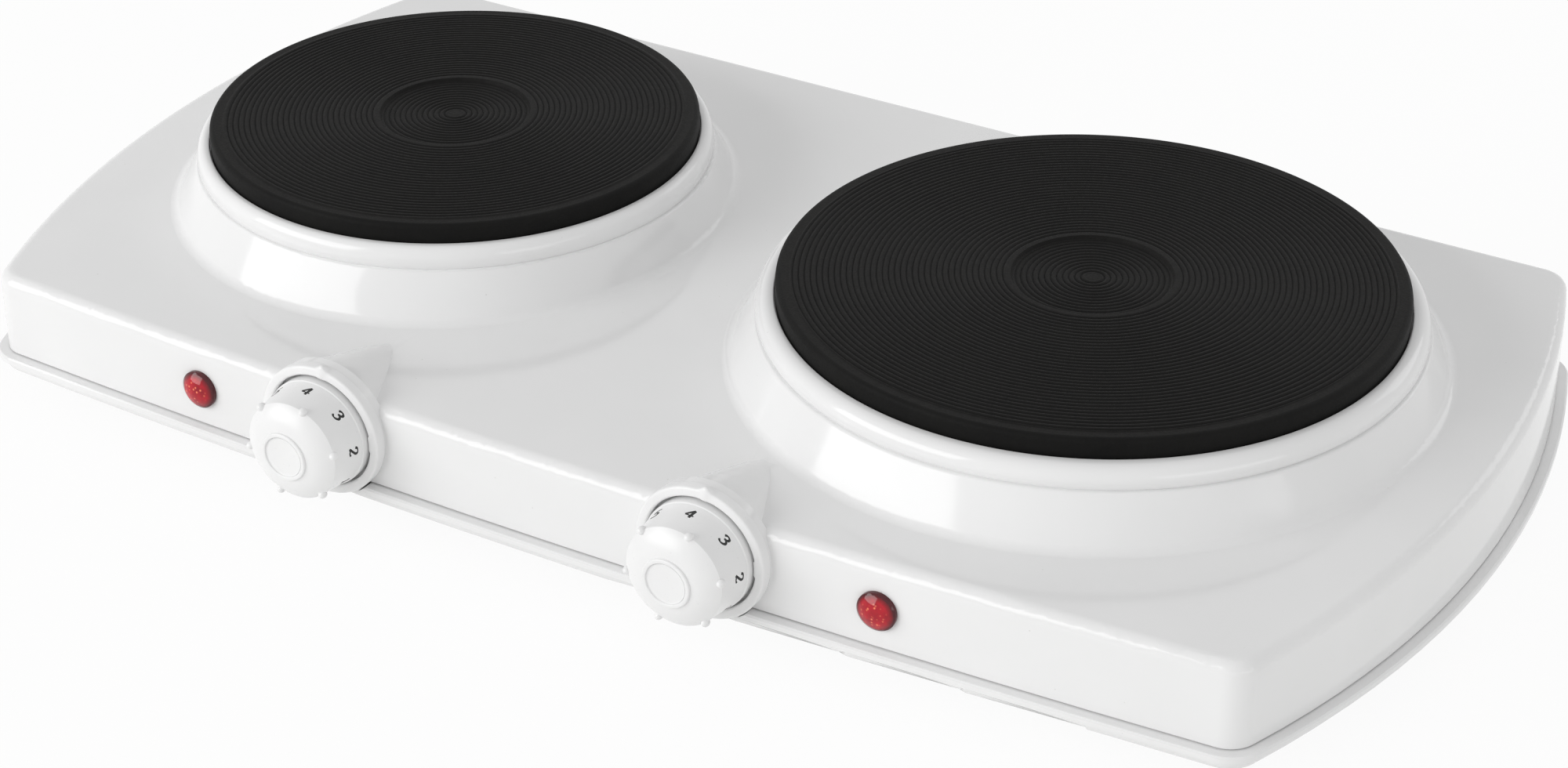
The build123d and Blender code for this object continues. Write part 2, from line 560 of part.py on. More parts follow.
# Dial controls: bezel, knob, shaft, spring clip, bushing and thermostat, all along the dial's axis
pointer_turn = radians(POINTER_ANGLE)
pointer_up = (sin(pointer_turn), 0, cos(pointer_turn))
pointer_across = (cos(pointer_turn), 0, -sin(pointer_turn))
bezel_round = min(SHEET / 2, BEZEL_WALL / 3)
for side, x in DIALS.items():
    seat = section((x, SEAT_Y, DIAL_Z), (0, -1, 0))
    axis = turning_axis(seat)
    face = section((x, SEAT_Y, DIAL_Z))
    pointer_back = (x, SEAT_Y + POINTER_DEPTH - BEZEL_DEPTH, DIAL_Z)

    with BuildPart() as bezel:
        with BuildSketch(face):
            Circle(BEZEL_RADIUS)
            Circle(BEZEL_BORE, mode=Mode.SUBTRACT)
        extrude(amount=BEZEL_DEPTH)
        fillet(bezel.faces().sort_by(Axis.Y)[0].edges(), bezel_round)
        with BuildSketch(section(pointer_back, pointer_up, pointer_across)):
            with BuildLine():
                pointer_root = (BEZEL_RADIUS + BEZEL_BORE) / 2
                Polyline(
                    (-POINTER_WIDTH / 2, pointer_root),
                    (POINTER_WIDTH / 2, pointer_root),
                    (0, BEZEL_RADIUS + POINTER_REACH),
                    close=True,
                )
            make_face()
        extrude(amount=POINTER_DEPTH - bezel_round)
    keep(bezel.part, f"{side}_bezel")

    grip_radius = KNOB_RADIUS - GRIP_STEP
    dome_start = KNOB_SHOULDER + GRIP_SIDE
    face_reach = KNOB_REACH - KNOB_BEAD_RISE
    with BuildPart() as knob:
        with BuildSketch(seat):
            with BuildLine():
                Polyline(
                    (KNOB_CAVITY_RADIUS, KNOB_GAP),
                    (KNOB_RADIUS, KNOB_GAP),
                    (KNOB_RADIUS, KNOB_SHOULDER),
                    (grip_radius, dome_start),
                )
                ThreePointArc(
                    (grip_radius, dome_start),
                    (KNOB_DOME_RADIUS, KNOB_DOME_REACH),
                    (KNOB_FACE_RADIUS, face_reach),
                )
                Polyline(
                    (KNOB_FACE_RADIUS, face_reach),
                    (KNOB_FACE_RADIUS, KNOB_REACH),
                    (KNOB_FACE_RADIUS - KNOB_BEAD, KNOB_REACH),
                    (KNOB_FACE_RADIUS - KNOB_BEAD, face_reach),
                    (0, face_reach),
                    (0, KNOB_CAVITY_DEPTH),
                    (KNOB_CAVITY_RADIUS, KNOB_CAVITY_DEPTH),
                    (KNOB_CAVITY_RADIUS, KNOB_GAP),
                )
            make_face()
        revolve(axis=axis)
        for index in range(NUB_COUNT):
            angle = radians(NUB_ANGLE + index * 360 / NUB_COUNT)
            nub_x = x + grip_radius * sin(angle)
            nub_z = DIAL_Z + grip_radius * cos(angle)
            with Locations((nub_x, SEAT_Y - dome_start, nub_z)):
                Sphere(NUB_RADIUS)
        with BuildSketch(face.offset(KNOB_CAVITY_DEPTH)):
            Circle(SHAFT_RADIUS + FIT)
            with Locations((0, BORE_FLAT)):
                Rectangle(
                    4 * SHAFT_RADIUS, SHAFT_RADIUS, align=(Align.CENTER, Align.MIN), mode=Mode.SUBTRACT
                )
        extrude(amount=BORE_DEPTH - KNOB_CAVITY_DEPTH, mode=Mode.SUBTRACT)
    keep(knob.part, f"{side}_knob")

    with BuildPart() as dial_shaft:
        with BuildSketch(face.offset(-SHAFT_TAIL)):
            Circle(SHAFT_RADIUS)
        extrude(amount=SHAFT_TAIL + SHAFT_NOSE)
        with BuildSketch(face.offset(KNOB_CAVITY_DEPTH)):
            with Locations((0, SHAFT_FLAT)):
                Rectangle(4 * SHAFT_RADIUS, SHAFT_RADIUS, align=(Align.CENTER, Align.MIN))
        extrude(amount=BORE_DEPTH, mode=Mode.SUBTRACT)
    keep(dial_shaft.part, f"{side}_dial_shaft")

    with BuildPart() as knob_clip:
        with BuildSketch(face.offset(KNOB_CAVITY_DEPTH + HOLE_GAP)):
            with Locations((0, SHAFT_FLAT + FIT)):
                Rectangle(CLIP_WIDTH, CLIP_SHEET, align=(Align.CENTER, Align.MIN))
        extrude(amount=SHAFT_NOSE - KNOB_CAVITY_DEPTH - 2 * HOLE_GAP)
    keep(knob_clip.part, f"{side}_knob_clip")

    bushing = turned(
        seat,
        [
            (SHAFT_RADIUS + FIT, -SHEET - BUSHING_TAIL),
            (BUSHING_RADIUS, -SHEET - BUSHING_TAIL),
            (BUSHING_RADIUS, BUSHING_NOSE),
            (SHAFT_RADIUS + FIT, BUSHING_NOSE),
        ],
    )
    keep(bushing, f"{side}_bushing")

    with BuildPart() as thermostat:
        with BuildSketch(face.offset(-SHEET)):
            Rectangle(THERMOSTAT_WIDTH, THERMOSTAT_HEIGHT)
        extrude(amount=-THERMOSTAT_DEPTH)
        fillet(thermostat.edges().filter_by(Axis.Y), 2 * SHEET)
        with BuildSketch(face.offset(-SHEET)):
            Circle(BUSHING_RADIUS + FIT)
        extrude(amount=-BUSHING_TAIL, mode=Mode.SUBTRACT)
        with BuildSketch(face.offset(-SHEET)):
            Circle(SHAFT_RADIUS + HOLE_GAP)
        extrude(amount=-SHAFT_TAIL, mode=Mode.SUBTRACT)
        with BuildSketch(face.offset(-SHEET)):
            with Locations((-SCREW_SPREAD, 0), (SCREW_SPREAD, 0)):
                Circle(SCREW_RADIUS + FIT)
        extrude(amount=-SCREW_REACH, mode=Mode.SUBTRACT)
    keep(thermostat.part, f"{side}_thermostat")

    with BuildPart() as tabs:
        with BuildSketch(face.offset(-SHEET - THERMOSTAT_DEPTH)):
            with Locations((-TAB_SPREAD, 0), (TAB_SPREAD, 0)):
                Rectangle(TAB_WIDTH, TAB_SHEET)
        extrude(amount=-TAB_LENGTH)
    keep(tabs.part, f"{side}_terminal_tabs")

# Control screws: two through each dial seat into its thermostat
control_screw_outline = [
    (0, -SCREW_REACH),
    (SCREW_RADIUS, -SCREW_REACH),
    (SCREW_RADIUS, 0),
    (SCREW_HEAD_RADIUS, 0),
    (SCREW_HEAD_RADIUS, SCREW_HEAD_HEIGHT),
    (0, SCREW_HEAD_HEIGHT),
]
with BuildPart() as control_screws:
    for x in DIALS.values():
        for offset_x in (-SCREW_SPREAD, SCREW_SPREAD):
            add(turned(section((x + offset_x, SEAT_Y, DIAL_Z), (0, -1, 0)), control_screw_outline))
keep(control_screws.part, "control_screws")

# Pilot lamps: lens through the front wall, bulb in its tail and a push-on clip behind the wall
for side, x in LAMPS.items():
    tangent = front_wall_tangent(x)
    outward = (tangent[1], -tangent[0], 0)
    lamp = section((x, front_wall_y(x), LAMP_Z), outward, tangent)
    axis = turning_axis(lamp)
    bore_end = LENS_RISE - LENS_FRONT - LENS_EDGE
    dome_rise = LENS_RISE - LENS_EDGE
    dome_radius = (LENS_RADIUS**2 + dome_rise**2) / (2 * dome_rise)
    dome_angle = degrees(asin(LENS_RADIUS / dome_radius))

    with BuildPart() as lens:
        with BuildSketch(lamp):
            with BuildLine():
                Polyline(
                    (LENS_BORE, -LENS_TAIL),
                    (LENS_TAIL_RADIUS, -LENS_TAIL),
                    (LENS_TAIL_RADIUS, FIT),
                    (LENS_RADIUS, FIT),
                    (LENS_RADIUS, LENS_EDGE),
                )
                CenterArc((0, LENS_RISE - dome_radius), dome_radius, 90 - dome_angle, dome_angle)
                Polyline(
                    (0, LENS_RISE),
                    (0, bore_end),
                    (LENS_BORE, bore_end),
                    (LENS_BORE, -LENS_TAIL),
                )
            make_face()
        revolve(axis=axis)
    keep(lens.part, f"{side}_lamp_lens")

    with BuildPart() as bulb:
        with BuildSketch(lamp):
            with BuildLine():
                Polyline(
                    (0, bore_end - HOLE_GAP - BULB_RADIUS),
                    (0, -LENS_TAIL - BULB_TAIL),
                    (BULB_RADIUS, -LENS_TAIL - BULB_TAIL),
                    (BULB_RADIUS, bore_end - HOLE_GAP - BULB_RADIUS),
                )
                CenterArc((0, bore_end - HOLE_GAP - BULB_RADIUS), BULB_RADIUS, 0, 90)
                Line((0, bore_end - HOLE_GAP), (0, bore_end - HOLE_GAP - BULB_RADIUS))
            make_face()
        revolve(axis=axis)
    keep(bulb.part, f"{side}_neon_bulb")

    clip_front = -SHEET - FIT
    clip_back = clip_front - LAMP_CLIP_SHEET
    lamp_clip = turned(
        lamp,
        [
            (LENS_TAIL_RADIUS + FIT, clip_back),
            (LAMP_CLIP_RADIUS, clip_back),
            (LAMP_CLIP_RADIUS, clip_front),
            (LENS_TAIL_RADIUS + FIT, clip_front),
        ],
    )
    keep(lamp_clip, f"{side}_lamp_clip")

# Supply inlet: gland through the back wall, held by a nut inside
inlet = section((GLAND_X, BACK_Y, GLAND_Z), (0, 1, 0))
cord_gland = turned(
    inlet,
    [
        (GLAND_BORE, -GLAND_TAIL),
        (GLAND_TAIL_RADIUS, -GLAND_TAIL),
        (GLAND_TAIL_RADIUS, 0),
        (GLAND_RADIUS, 0),
        (GLAND_RADIUS, GLAND_FLANGE / 2),
        (GLAND_RADIUS - GLAND_FLANGE / 2, GLAND_FLANGE),
        (GLAND_BORE, GLAND_FLANGE),
    ],
)
keep(cord_gland, "cord_gland")

with BuildPart() as gland_nut:
    with BuildSketch(section((GLAND_X, BACK_Y - SHEET, GLAND_Z))):
        RegularPolygon(GLAND_NUT_FLATS / 2, 6, major_radius=False)
        Circle(GLAND_TAIL_RADIUS + FIT, mode=Mode.SUBTRACT)
    extrude(amount=GLAND_NUT_THICKNESS)
keep(gland_nut.part, "gland_nut")

# Mains terminal block on the tray floor, its screws, and the earth screw
with BuildPart() as mains_block:
    with Locations((MAINS_X, MAINS_Y, TRAY_FLOOR_Z)):
        Box(MAINS_LENGTH, MAINS_DEPTH, MAINS_HEIGHT, align=(Align.CENTER, Align.CENTER, Align.MIN))
    fillet(mains_block.edges().filter_by(Axis.Z), SHEET)
    with Locations((MAINS_X, MAINS_Y, TRAY_FLOOR_Z + MAINS_HEIGHT)):
        with GridLocations(MAINS_SCREW_PITCH, 0, MAINS_SCREWS, 1):
            Hole(SCREW_RADIUS + FIT, MAINS_HEIGHT / 2)
keep(mains_block.part, "mains_terminal_block")

with BuildPart() as mains_screws:
    with Locations((MAINS_X, MAINS_Y, TRAY_FLOOR_Z + MAINS_HEIGHT)):
        with GridLocations(MAINS_SCREW_PITCH, 0, MAINS_SCREWS, 1):
            Cylinder(SCREW_RADIUS, MAINS_HEIGHT / 2 - FIT, align=(Align.CENTER, Align.CENTER, Align.MAX))
            Cylinder(SCREW_HEAD_RADIUS, SCREW_HEAD_HEIGHT, align=(Align.CENTER, Align.CENTER, Align.MIN))
keep(mains_screws.part, "mains_terminal_screws")

with BuildPart() as earth_screw:
    with Locations((EARTH_X, MAINS_Y, TRAY_FLOOR_Z)):
        Cylinder(SCREW_RADIUS, 2 * SHEET + SCREW_HEAD_HEIGHT, align=(Align.CENTER, Align.CENTER, Align.MAX))
        Cylinder(SCREW_HEAD_RADIUS, SCREW_HEAD_HEIGHT, align=(Align.CENTER, Align.CENTER, Align.MIN))
keep(earth_screw.part, "earth_screw")

# Leads: mains block to each thermostat, and each thermostat to its plate's terminal block
tab_end_y = SEAT_Y + SHEET + THERMOSTAT_DEPTH + TAB_LENGTH
mains_front_y = MAINS_Y - MAINS_DEPTH / 2
mains_lead_z = TRAY_FLOOR_Z + MAINS_HEIGHT / 2
block_lead_z = SHIELD_Z - BLOCK_HEIGHT / 2
turn_run = 3 * LEAD_BEND
routes = {}
for side, burner, inward in (("left", SMALL, 1), ("right", LARGE, -1)):
    feed_x = DIALS[side] + inward * TAB_SPREAD
    mains_x = MAINS_X - inward * MAINS_SCREW_PITCH
    plate_x = DIALS[side] - inward * TAB_SPREAD
    block_front_y = burner.y - BLOCK_SETBACK - BLOCK_DEPTH / 2
    routes[f"{side}_feed_lead"] = [
        (mains_x, mains_front_y, mains_lead_z),
        (mains_x, mains_front_y - turn_run, mains_lead_z),
        (feed_x, tab_end_y + turn_run, DIAL_Z),
        (feed_x, tab_end_y, DIAL_Z),
    ]
    routes[f"{side}_plate_lead"] = [
        (plate_x, tab_end_y, DIAL_Z),
        (plate_x, tab_end_y + turn_run / 2, DIAL_Z),
        (burner.x, block_front_y - turn_run / 2, block_lead_z),
        (burner.x, block_front_y, block_lead_z),
    ]
for label, route in routes.items():
    with BuildPart() as lead:
        with BuildLine() as path:
            FilletPolyline(*route, radius=LEAD_BEND)
        with BuildSketch(Plane(origin=path.line @ 0, z_dir=path.line % 0)):
            Circle(LEAD_RADIUS)
        sweep(path=path.line)
    keep(lead.part, label)

# Rubber feet and the screws that hold them to the tray
for corner, (x, y) in FEET.items():
    foot = turned(
        section((x, y, 0)),
        [
            (FOOT_SCREW_HEAD + HOLE_GAP, 0),
            (FOOT_RADIUS, 0),
            (FOOT_TOP_RADIUS, FOOT_HEIGHT),
            (FOOT_SCREW_RADIUS + FIT, FOOT_HEIGHT),
            (FOOT_SCREW_RADIUS + FIT, FOOT_SEAT),
            (FOOT_SCREW_HEAD + HOLE_GAP, FOOT_SEAT),
        ],
    )
    keep(foot, f"{corner}_foot")

foot_screw_outline = [
    (0, FOOT_SEAT - FOOT_HEAD_HEIGHT),
    (FOOT_SCREW_HEAD, FOOT_SEAT - FOOT_HEAD_HEIGHT),
    (FOOT_SCREW_HEAD, FOOT_SEAT),
    (FOOT_SCREW_RADIUS, FOOT_SEAT),
    (FOOT_SCREW_RADIUS, TRAY_FLOOR_Z + FOOT_SCREW_REACH),
    (0, TRAY_FLOOR_Z + FOOT_SCREW_REACH),
]
with BuildPart() as foot_screws:
    for x, y in FEET.values():
        add(turned(section((x, y, 0)), foot_screw_outline))
keep(foot_screws.part, "foot_screws")
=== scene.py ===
"""Looks of a free-standing electric hot plate: a large and a small cast iron plate on one enamelled housing.

Lengths are in millimetres until a mesh is made. +X is right seen from the front, -Y is towards the user and
+Z is up.
"""

import json
import logging
from collections.abc import Sequence
from dataclasses import dataclass
from enum import Enum, IntEnum
from math import radians

import bpy
import numpy as np
from mathutils import Matrix
from numpy.typing import NDArray


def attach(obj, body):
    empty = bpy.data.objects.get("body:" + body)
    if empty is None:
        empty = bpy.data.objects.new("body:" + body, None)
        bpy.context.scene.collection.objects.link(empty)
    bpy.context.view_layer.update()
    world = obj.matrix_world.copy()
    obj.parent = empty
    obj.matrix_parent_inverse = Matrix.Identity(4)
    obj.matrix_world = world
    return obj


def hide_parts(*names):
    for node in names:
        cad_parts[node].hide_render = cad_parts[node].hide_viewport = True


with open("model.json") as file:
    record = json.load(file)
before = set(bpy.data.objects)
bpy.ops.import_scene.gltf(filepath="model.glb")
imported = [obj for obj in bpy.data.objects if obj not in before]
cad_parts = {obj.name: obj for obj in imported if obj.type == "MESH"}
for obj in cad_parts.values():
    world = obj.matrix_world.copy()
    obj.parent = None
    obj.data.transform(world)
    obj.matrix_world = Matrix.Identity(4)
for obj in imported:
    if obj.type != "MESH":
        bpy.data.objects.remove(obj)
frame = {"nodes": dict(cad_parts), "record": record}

log = logging.getLogger("hot_plate")
MM = 0.001
METRE_MM = 1000.0
FULL_TURN = 2 * np.pi
WELD_MM = 1e-4  # vertices in the same cell of this size are one
PRISM_MM = 1.3  # spacing of the prisms in a lamp's lens
CORNER_STEPS = 5  # points on the arc of a small rounded corner
WAVE_RATE = 20.0  # radians that a wave texture runs through per unit along an axis
Array = NDArray[np.float64]
Indices = NDArray[np.int64]
Triple = tuple[float, float, float]
Value = float | int | str | bool | tuple[float, ...] | bpy.types.NodeSocket


class Body(Enum):
    """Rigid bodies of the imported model."""

    BASE = "base"
    LEFT_CONTROL = "left_control"
    RIGHT_CONTROL = "right_control"


class Side(Enum):
    """Left or right as the user sees it."""

    LEFT = "left"
    RIGHT = "right"


class MixSocket(IntEnum):
    """Sockets of a Mix node that are in use when it mixes colours."""

    FACTOR = 0
    FIRST = 6
    SECOND = 7
    RESULT = 2


# Materials


def linear(colour: str) -> tuple[float, float, float, float]:
    """Turns an sRGB colour into the linear one that shaders take.

    Args:
        colour: Hex colour such as "#eeeeec".

    Returns:
        Linear red, green and blue, and an alpha of 1.
    """
    coded = np.array([int(colour[i : i + 2], 16) for i in (1, 3, 5)]) / 255
    plain = np.where(coded <= 0.04045, coded / 12.92, ((coded + 0.055) / 1.055) ** 2.4)
    return (*plain.tolist(), 1.0)


def add_node(
    tree: bpy.types.NodeTree, kind: str, inputs: dict[str | int, Value] | None = None, **settings: Value
) -> bpy.types.Node:
    """Adds one shader node with its settings and links.

    Args:
        tree: Node tree that gets the node.
        kind: Type of the node, without the leading "ShaderNode".
        inputs: Name or number of a socket, with its value or the output that feeds it.
        settings: Properties of the node itself.

    Returns:
        The new node.
    """
    node = tree.nodes.new("ShaderNode" + kind)
    for key, value in settings.items():
        setattr(node, key, value)
    for key, value in (inputs or {}).items():
        if isinstance(value, bpy.types.NodeSocket):
            tree.links.new(value, node.inputs[key])
        else:
            node.inputs[key].default_value = value
    return node


@dataclass(frozen=True)
class Finish:
    """A surface whose colour drifts between two tones in patches, with a fine grain in gloss and relief.

    Sizes are wavelengths in millimetres, so a noise scale is a metre divided by the size. A detail is how
    many finer layers a noise has, and patch_range is the part of it in which one tone turns into the other.
    """

    title: str
    shade: str
    light: str
    patch_mm: float
    grain_mm: float
    relief_mm: float
    roughness: tuple[float, float]
    metallic: float = 0.0
    ior: float = 1.5
    specular: float = 0.5
    transmission: float = 0.0
    patch_detail: float = 3.0
    patch_range: tuple[float, float] = (0.3, 0.7)
    grain_detail: float = 2.0

    def colour(self, tree: bpy.types.NodeTree, place: bpy.types.NodeSocket) -> bpy.types.NodeSocket:
        """Colour that drifts between the two tones.

        Args:
            tree: Node tree of the material.
            place: Object coordinates.

        Returns:
            Output socket with the colour.
        """
        noise = {"Vector": place, "Scale": METRE_MM / self.patch_mm, "Detail": self.patch_detail}
        patches = add_node(tree, "TexNoise", noise).outputs["Fac"]
        low, high = self.patch_range
        spread = add_node(tree, "MapRange", {"Value": patches, "From Min": low, "From Max": high})
        tones = {
            MixSocket.FACTOR: spread.outputs[0],
            MixSocket.FIRST: linear(self.shade),
            MixSocket.SECOND: linear(self.light),
        }
        return add_node(tree, "Mix", tones, data_type="RGBA").outputs[MixSocket.RESULT]

    def relief(self, tree: bpy.types.NodeTree, place: bpy.types.NodeSocket) -> bpy.types.NodeSocket:
        """Height of the grain.

        Args:
            tree: Node tree of the material.
            place: Object coordinates.

        Returns:
            Output socket with heights around 0.5.
        """
        grain = {"Vector": place, "Scale": METRE_MM / self.grain_mm, "Detail": self.grain_detail}
        return add_node(tree, "TexNoise", grain).outputs["Fac"]

    def material(self) -> bpy.types.Material:
        """Makes the node material of this finish.

        Returns:
            The new material.
        """
        material = bpy.data.materials.new(self.title)
        material.use_nodes = True
        tree = material.node_tree
        tree.nodes.clear()
        place = add_node(tree, "TexCoord").outputs["Object"]
        height = self.relief(tree, place)
        low, high = self.roughness
        gloss = add_node(tree, "MapRange", {"Value": height, "To Min": low, "To Max": high})
        bump = add_node(tree, "Bump", {"Height": height, "Distance": self.relief_mm * MM})
        sockets: dict[str | int, Value] = {
            "Base Color": self.colour(tree, place),
            "Roughness": gloss.outputs[0],
            "Normal": bump.outputs[0],
            "Metallic": self.metallic,
            "IOR": self.ior,
            "Specular IOR Level": self.specular,
            "Transmission Weight": self.transmission,
        }
        shader = add_node(tree, "BsdfPrincipled", sockets)
        add_node(tree, "OutputMaterial", {"Surface": shader.outputs[0]})
        return material


@dataclass(frozen=True)
class FiredEnamel(Finish):
    """Vitreous enamel: a glassy coat with a slow ripple and a few grey specks of frit.

    A speck's core and edge are shares of its cell, and its cover is how much of the white it hides.
    """

    speck: str = "#c9c8c4"
    speck_mm: float = 9.0
    speck_core: float = 0.012
    speck_edge: float = 0.03
    speck_cover: float = 0.6

    def colour(self, tree: bpy.types.NodeTree, place: bpy.types.NodeSocket) -> bpy.types.NodeSocket:
        """White with a speck near the middle of some cells, each a small share of its cell across.

        Args:
            tree: Node tree of the material.
            place: Object coordinates.

        Returns:
            Output socket with the colour.
        """
        cells = add_node(tree, "TexVoronoi", {"Vector": place, "Scale": METRE_MM / self.speck_mm})
        near = {
            "Value": cells.outputs["Distance"],
            "From Min": self.speck_core,
            "From Max": self.speck_edge,
            "To Min": self.speck_cover,
            "To Max": 0.0,
        }
        dots = add_node(tree, "MapRange", near)
        mixed = {
            MixSocket.FACTOR: dots.outputs[0],
            MixSocket.FIRST: super().colour(tree, place),
            MixSocket.SECOND: linear(self.speck),
        }
        return add_node(tree, "Mix", mixed, data_type="RGBA").outputs[MixSocket.RESULT]


@dataclass(frozen=True)
class TurnedIron(Finish):
    """Blackened cast iron, worn a little lighter on the ridges that the pans touch."""

    worn: str = "#1d1c1b"
    spot_mm: float = 2.5
    spot_detail: float = 4.0

    def colour(self, tree: bpy.types.NodeTree, place: bpy.types.NodeSocket) -> bpy.types.NodeSocket:
        """Patchy black, mixed with the worn tone by the ridge attribute and a grain of rubbed spots.

        Args:
            tree: Node tree of the material.
            place: Object coordinates.

        Returns:
            Output socket with the colour.
        """
        ridge = add_node(tree, "Attribute", attribute_name="ridge").outputs["Fac"]
        noise = {"Vector": place, "Scale": METRE_MM / self.spot_mm, "Detail": self.spot_detail}
        spots = add_node(tree, "TexNoise", noise).outputs["Fac"]
        rubbed = add_node(tree, "Math", {0: ridge, 1: spots}, operation="MULTIPLY")
        mixed = {
            MixSocket.FACTOR: rubbed.outputs[0],
            MixSocket.FIRST: super().colour(tree, place),
            MixSocket.SECOND: linear(self.worn),
        }
        return add_node(tree, "Mix", mixed, data_type="RGBA").outputs[MixSocket.RESULT]


@dataclass(frozen=True)
class PrismLens(Finish):
    """Clear red moulding with small prisms behind its face, with painted glints and painted rim shade.

    Glint core and edge are shares of a prism; painted rim shade ends at its share of the ridge attribute.
    """

    # Painted shade over the rim, edge and tail of the lens.
    rim: str = "#4c020e"
    # Painted glint: a pale highlight painted at the core of each prism.
    painted_glint: str = "#ff8a66"
    painted_glint_core: float = 0.1
    painted_glint_edge: float = 0.34
    rim_shade_share: float = 0.5

    def colour(self, tree: bpy.types.NodeTree, place: bpy.types.NodeSocket) -> bpy.types.NodeSocket:
        """Painted rim shade, red inside it and painted glints in the middle prisms, by the ridge attribute.

        Args:
            tree: Node tree of the material.
            place: Object coordinates.

        Returns:
            Output socket with the colour.
        """
        cells = add_node(tree, "TexVoronoi", {"Vector": place, "Scale": METRE_MM / PRISM_MM})
        near = {
            "Value": cells.outputs["Distance"],
            "From Min": self.painted_glint_core,
            "From Max": self.painted_glint_edge,
            "To Min": 1.0,
            "To Max": 0.0,
        }
        dots = add_node(tree, "MapRange", near)
        ridge = add_node(tree, "Attribute", attribute_name="ridge").outputs["Fac"]
        middle = add_node(tree, "MapRange", {"Value": ridge, "From Min": self.rim_shade_share})
        inside = add_node(tree, "MapRange", {"Value": ridge, "From Max": self.rim_shade_share})
        # Where the painted glints show: prism cores towards the middle.
        painted_glint_mask = add_node(tree, "Math", {0: dots.outputs[0], 1: middle.outputs[0]}, operation="MULTIPLY")
        # Painted shade over the rim, the red inside it.
        body = {
            MixSocket.FACTOR: inside.outputs[0],
            MixSocket.FIRST: linear(self.rim),
            MixSocket.SECOND: super().colour(tree, place),
        }
        mixed = {
            MixSocket.FACTOR: painted_glint_mask.outputs[0],
            MixSocket.FIRST: add_node(tree, "Mix", body, data_type="RGBA").outputs[MixSocket.RESULT],
            MixSocket.SECOND: linear(self.painted_glint),
        }
        return add_node(tree, "Mix", mixed, data_type="RGBA").outputs[MixSocket.RESULT]


@dataclass(frozen=True)
class BraidedSleeve(Finish):
    """Glass fibre sleeve: crossing yarns about seven grains apart, drawn coarse enough to show."""

    def relief(self, tree: bpy.types.NodeTree, place: bpy.types.NodeSocket) -> bpy.types.NodeSocket:
        """The higher of two crossing waves.

        Args:
            tree: Node tree of the material.
            place: Object coordinates.

        Returns:
            Output socket with the height.
        """
        scale = METRE_MM / self.grain_mm / WAVE_RATE
        turned = add_node(tree, "Mapping", {"Vector": place, "Rotation": (0.0, 0.0, np.pi / 2)}).outputs[0]
        over, under = (
            add_node(tree, "TexWave", {"Vector": way, "Scale": scale}, bands_direction="DIAGONAL")
            for way in (place, turned)
        )
        highest = {0: over.outputs["Fac"], 1: under.outputs["Fac"]}
        return add_node(tree, "Math", highest, operation="MAXIMUM").outputs[0]


@dataclass(frozen=True)
class DrawnMetal(Finish):
    """Rolled, drawn or turned metal with fine lines along X."""

    stretch: float = 14.0

    def relief(self, tree: bpy.types.NodeTree, place: bpy.types.NodeSocket) -> bpy.types.NodeSocket:
        """Grain noise drawn out along X by the stretch."""
        lines = add_node(tree, "Mapping", {"Vector": place, "Scale": (1 / self.stretch, 1.0, 1.0)})
        return super().relief(tree, lines.outputs[0])


# Each finish has its name, two tones, the sizes of patches, grain and relief, and the range of its roughness.

# Vitreous enamel fired on pressed steel: glassy white with a soft orange-peel ripple.
ENAMEL = FiredEnamel(
    "white_vitreous_enamel", "#ebebeb", "#f1f1f1", 90.0, 7.0, 0.012, (0.08, 0.14), ior=1.52, specular=0.4
)
# Grey cast iron, turned and painted black against the heat: matte, slightly mottled, with a fine sandy grain.
IRON = TurnedIron("black_cast_iron", "#0b0b0b", "#111110", 14.0, 0.6, 0.05, (0.5, 0.75), specular=0.1)
# ABS moulded against a lightly sparked tool: satin gloss, with a very fine grain drawn coarse enough to show.
PLASTIC = Finish("white_moulded_abs", "#ededed", "#f2f2f2", 30.0, 0.7, 0.008, (0.24, 0.36), ior=1.53)
# Pad-printed ink: flat black with slightly uneven cover.
INK = Finish("black_pad_print_ink", "#0b0b0b", "#171717", 1.2, 0.4, 0.01, (0.45, 0.6))
# Polycarbonate moulded red and polished: deep colour, wet gloss, prisms inside; painted glints and rim shade.
LENS = PrismLens("red_polycarbonate", "#96021a", "#c60622", 3.0, 1.2, 0.01, (0.03, 0.07), specular=0.45)
# Blown glass envelope of a neon bulb, with its orange electrodes showing through.
BULB = Finish("neon_bulb_glass", "#d9a77c", "#f0d2b4", 3.0, 2.0, 0.01, (0.04, 0.1), transmission=0.6)
# Natural rubber compound moulded with carbon black: dull, with a bloom of paler dust.
RUBBER = Finish("black_moulded_rubber", "#1b1b1b", "#2b2b2a", 6.0, 0.8, 0.04, (0.7, 0.9), specular=0.3)
# Steatite pressed and fired without glaze: off-white, chalky.
CERAMIC = Finish("fired_steatite", "#d6d1c2", "#e6e2d6", 5.0, 0.6, 0.03, (0.55, 0.75))
# Glass-filled nylon moulded black: matte with a faint swirl of fibres.
NYLON = Finish("black_glass_filled_nylon", "#161616", "#232323", 8.0, 0.7, 0.03, (0.4, 0.6))
# Turned brass, left bare: warm, with fine tool lines.
BRASS = DrawnMetal("turned_brass", "#b08a45", "#cfa75a", 6.0, 0.5, 0.01, (0.22, 0.38), metallic=1.0)
# Glass fibre yarn braided over the leads: cream, dry, with crossing yarns.
SLEEVE = BraidedSleeve("braided_glass_fibre", "#cfcabb", "#e3dfd2", 4.0, 0.9, 0.12, (0.75, 0.9), specular=0.2)
# Nickel alloy sheath, oxidised by heat: brown-grey, half dull.
SHEATH = DrawnMetal("oxidised_nickel_alloy", "#3f3835", "#5f5550", 9.0, 0.7, 0.02, (0.45, 0.65), metallic=0.8)
# Steel sheet dipped in aluminium: pale grey with spangled patches and rolling lines.
SHEET = DrawnMetal("aluminised_steel_sheet", "#a9aaab", "#c6c7c8", 12.0, 0.9, 0.01, (0.3, 0.5), metallic=1.0)
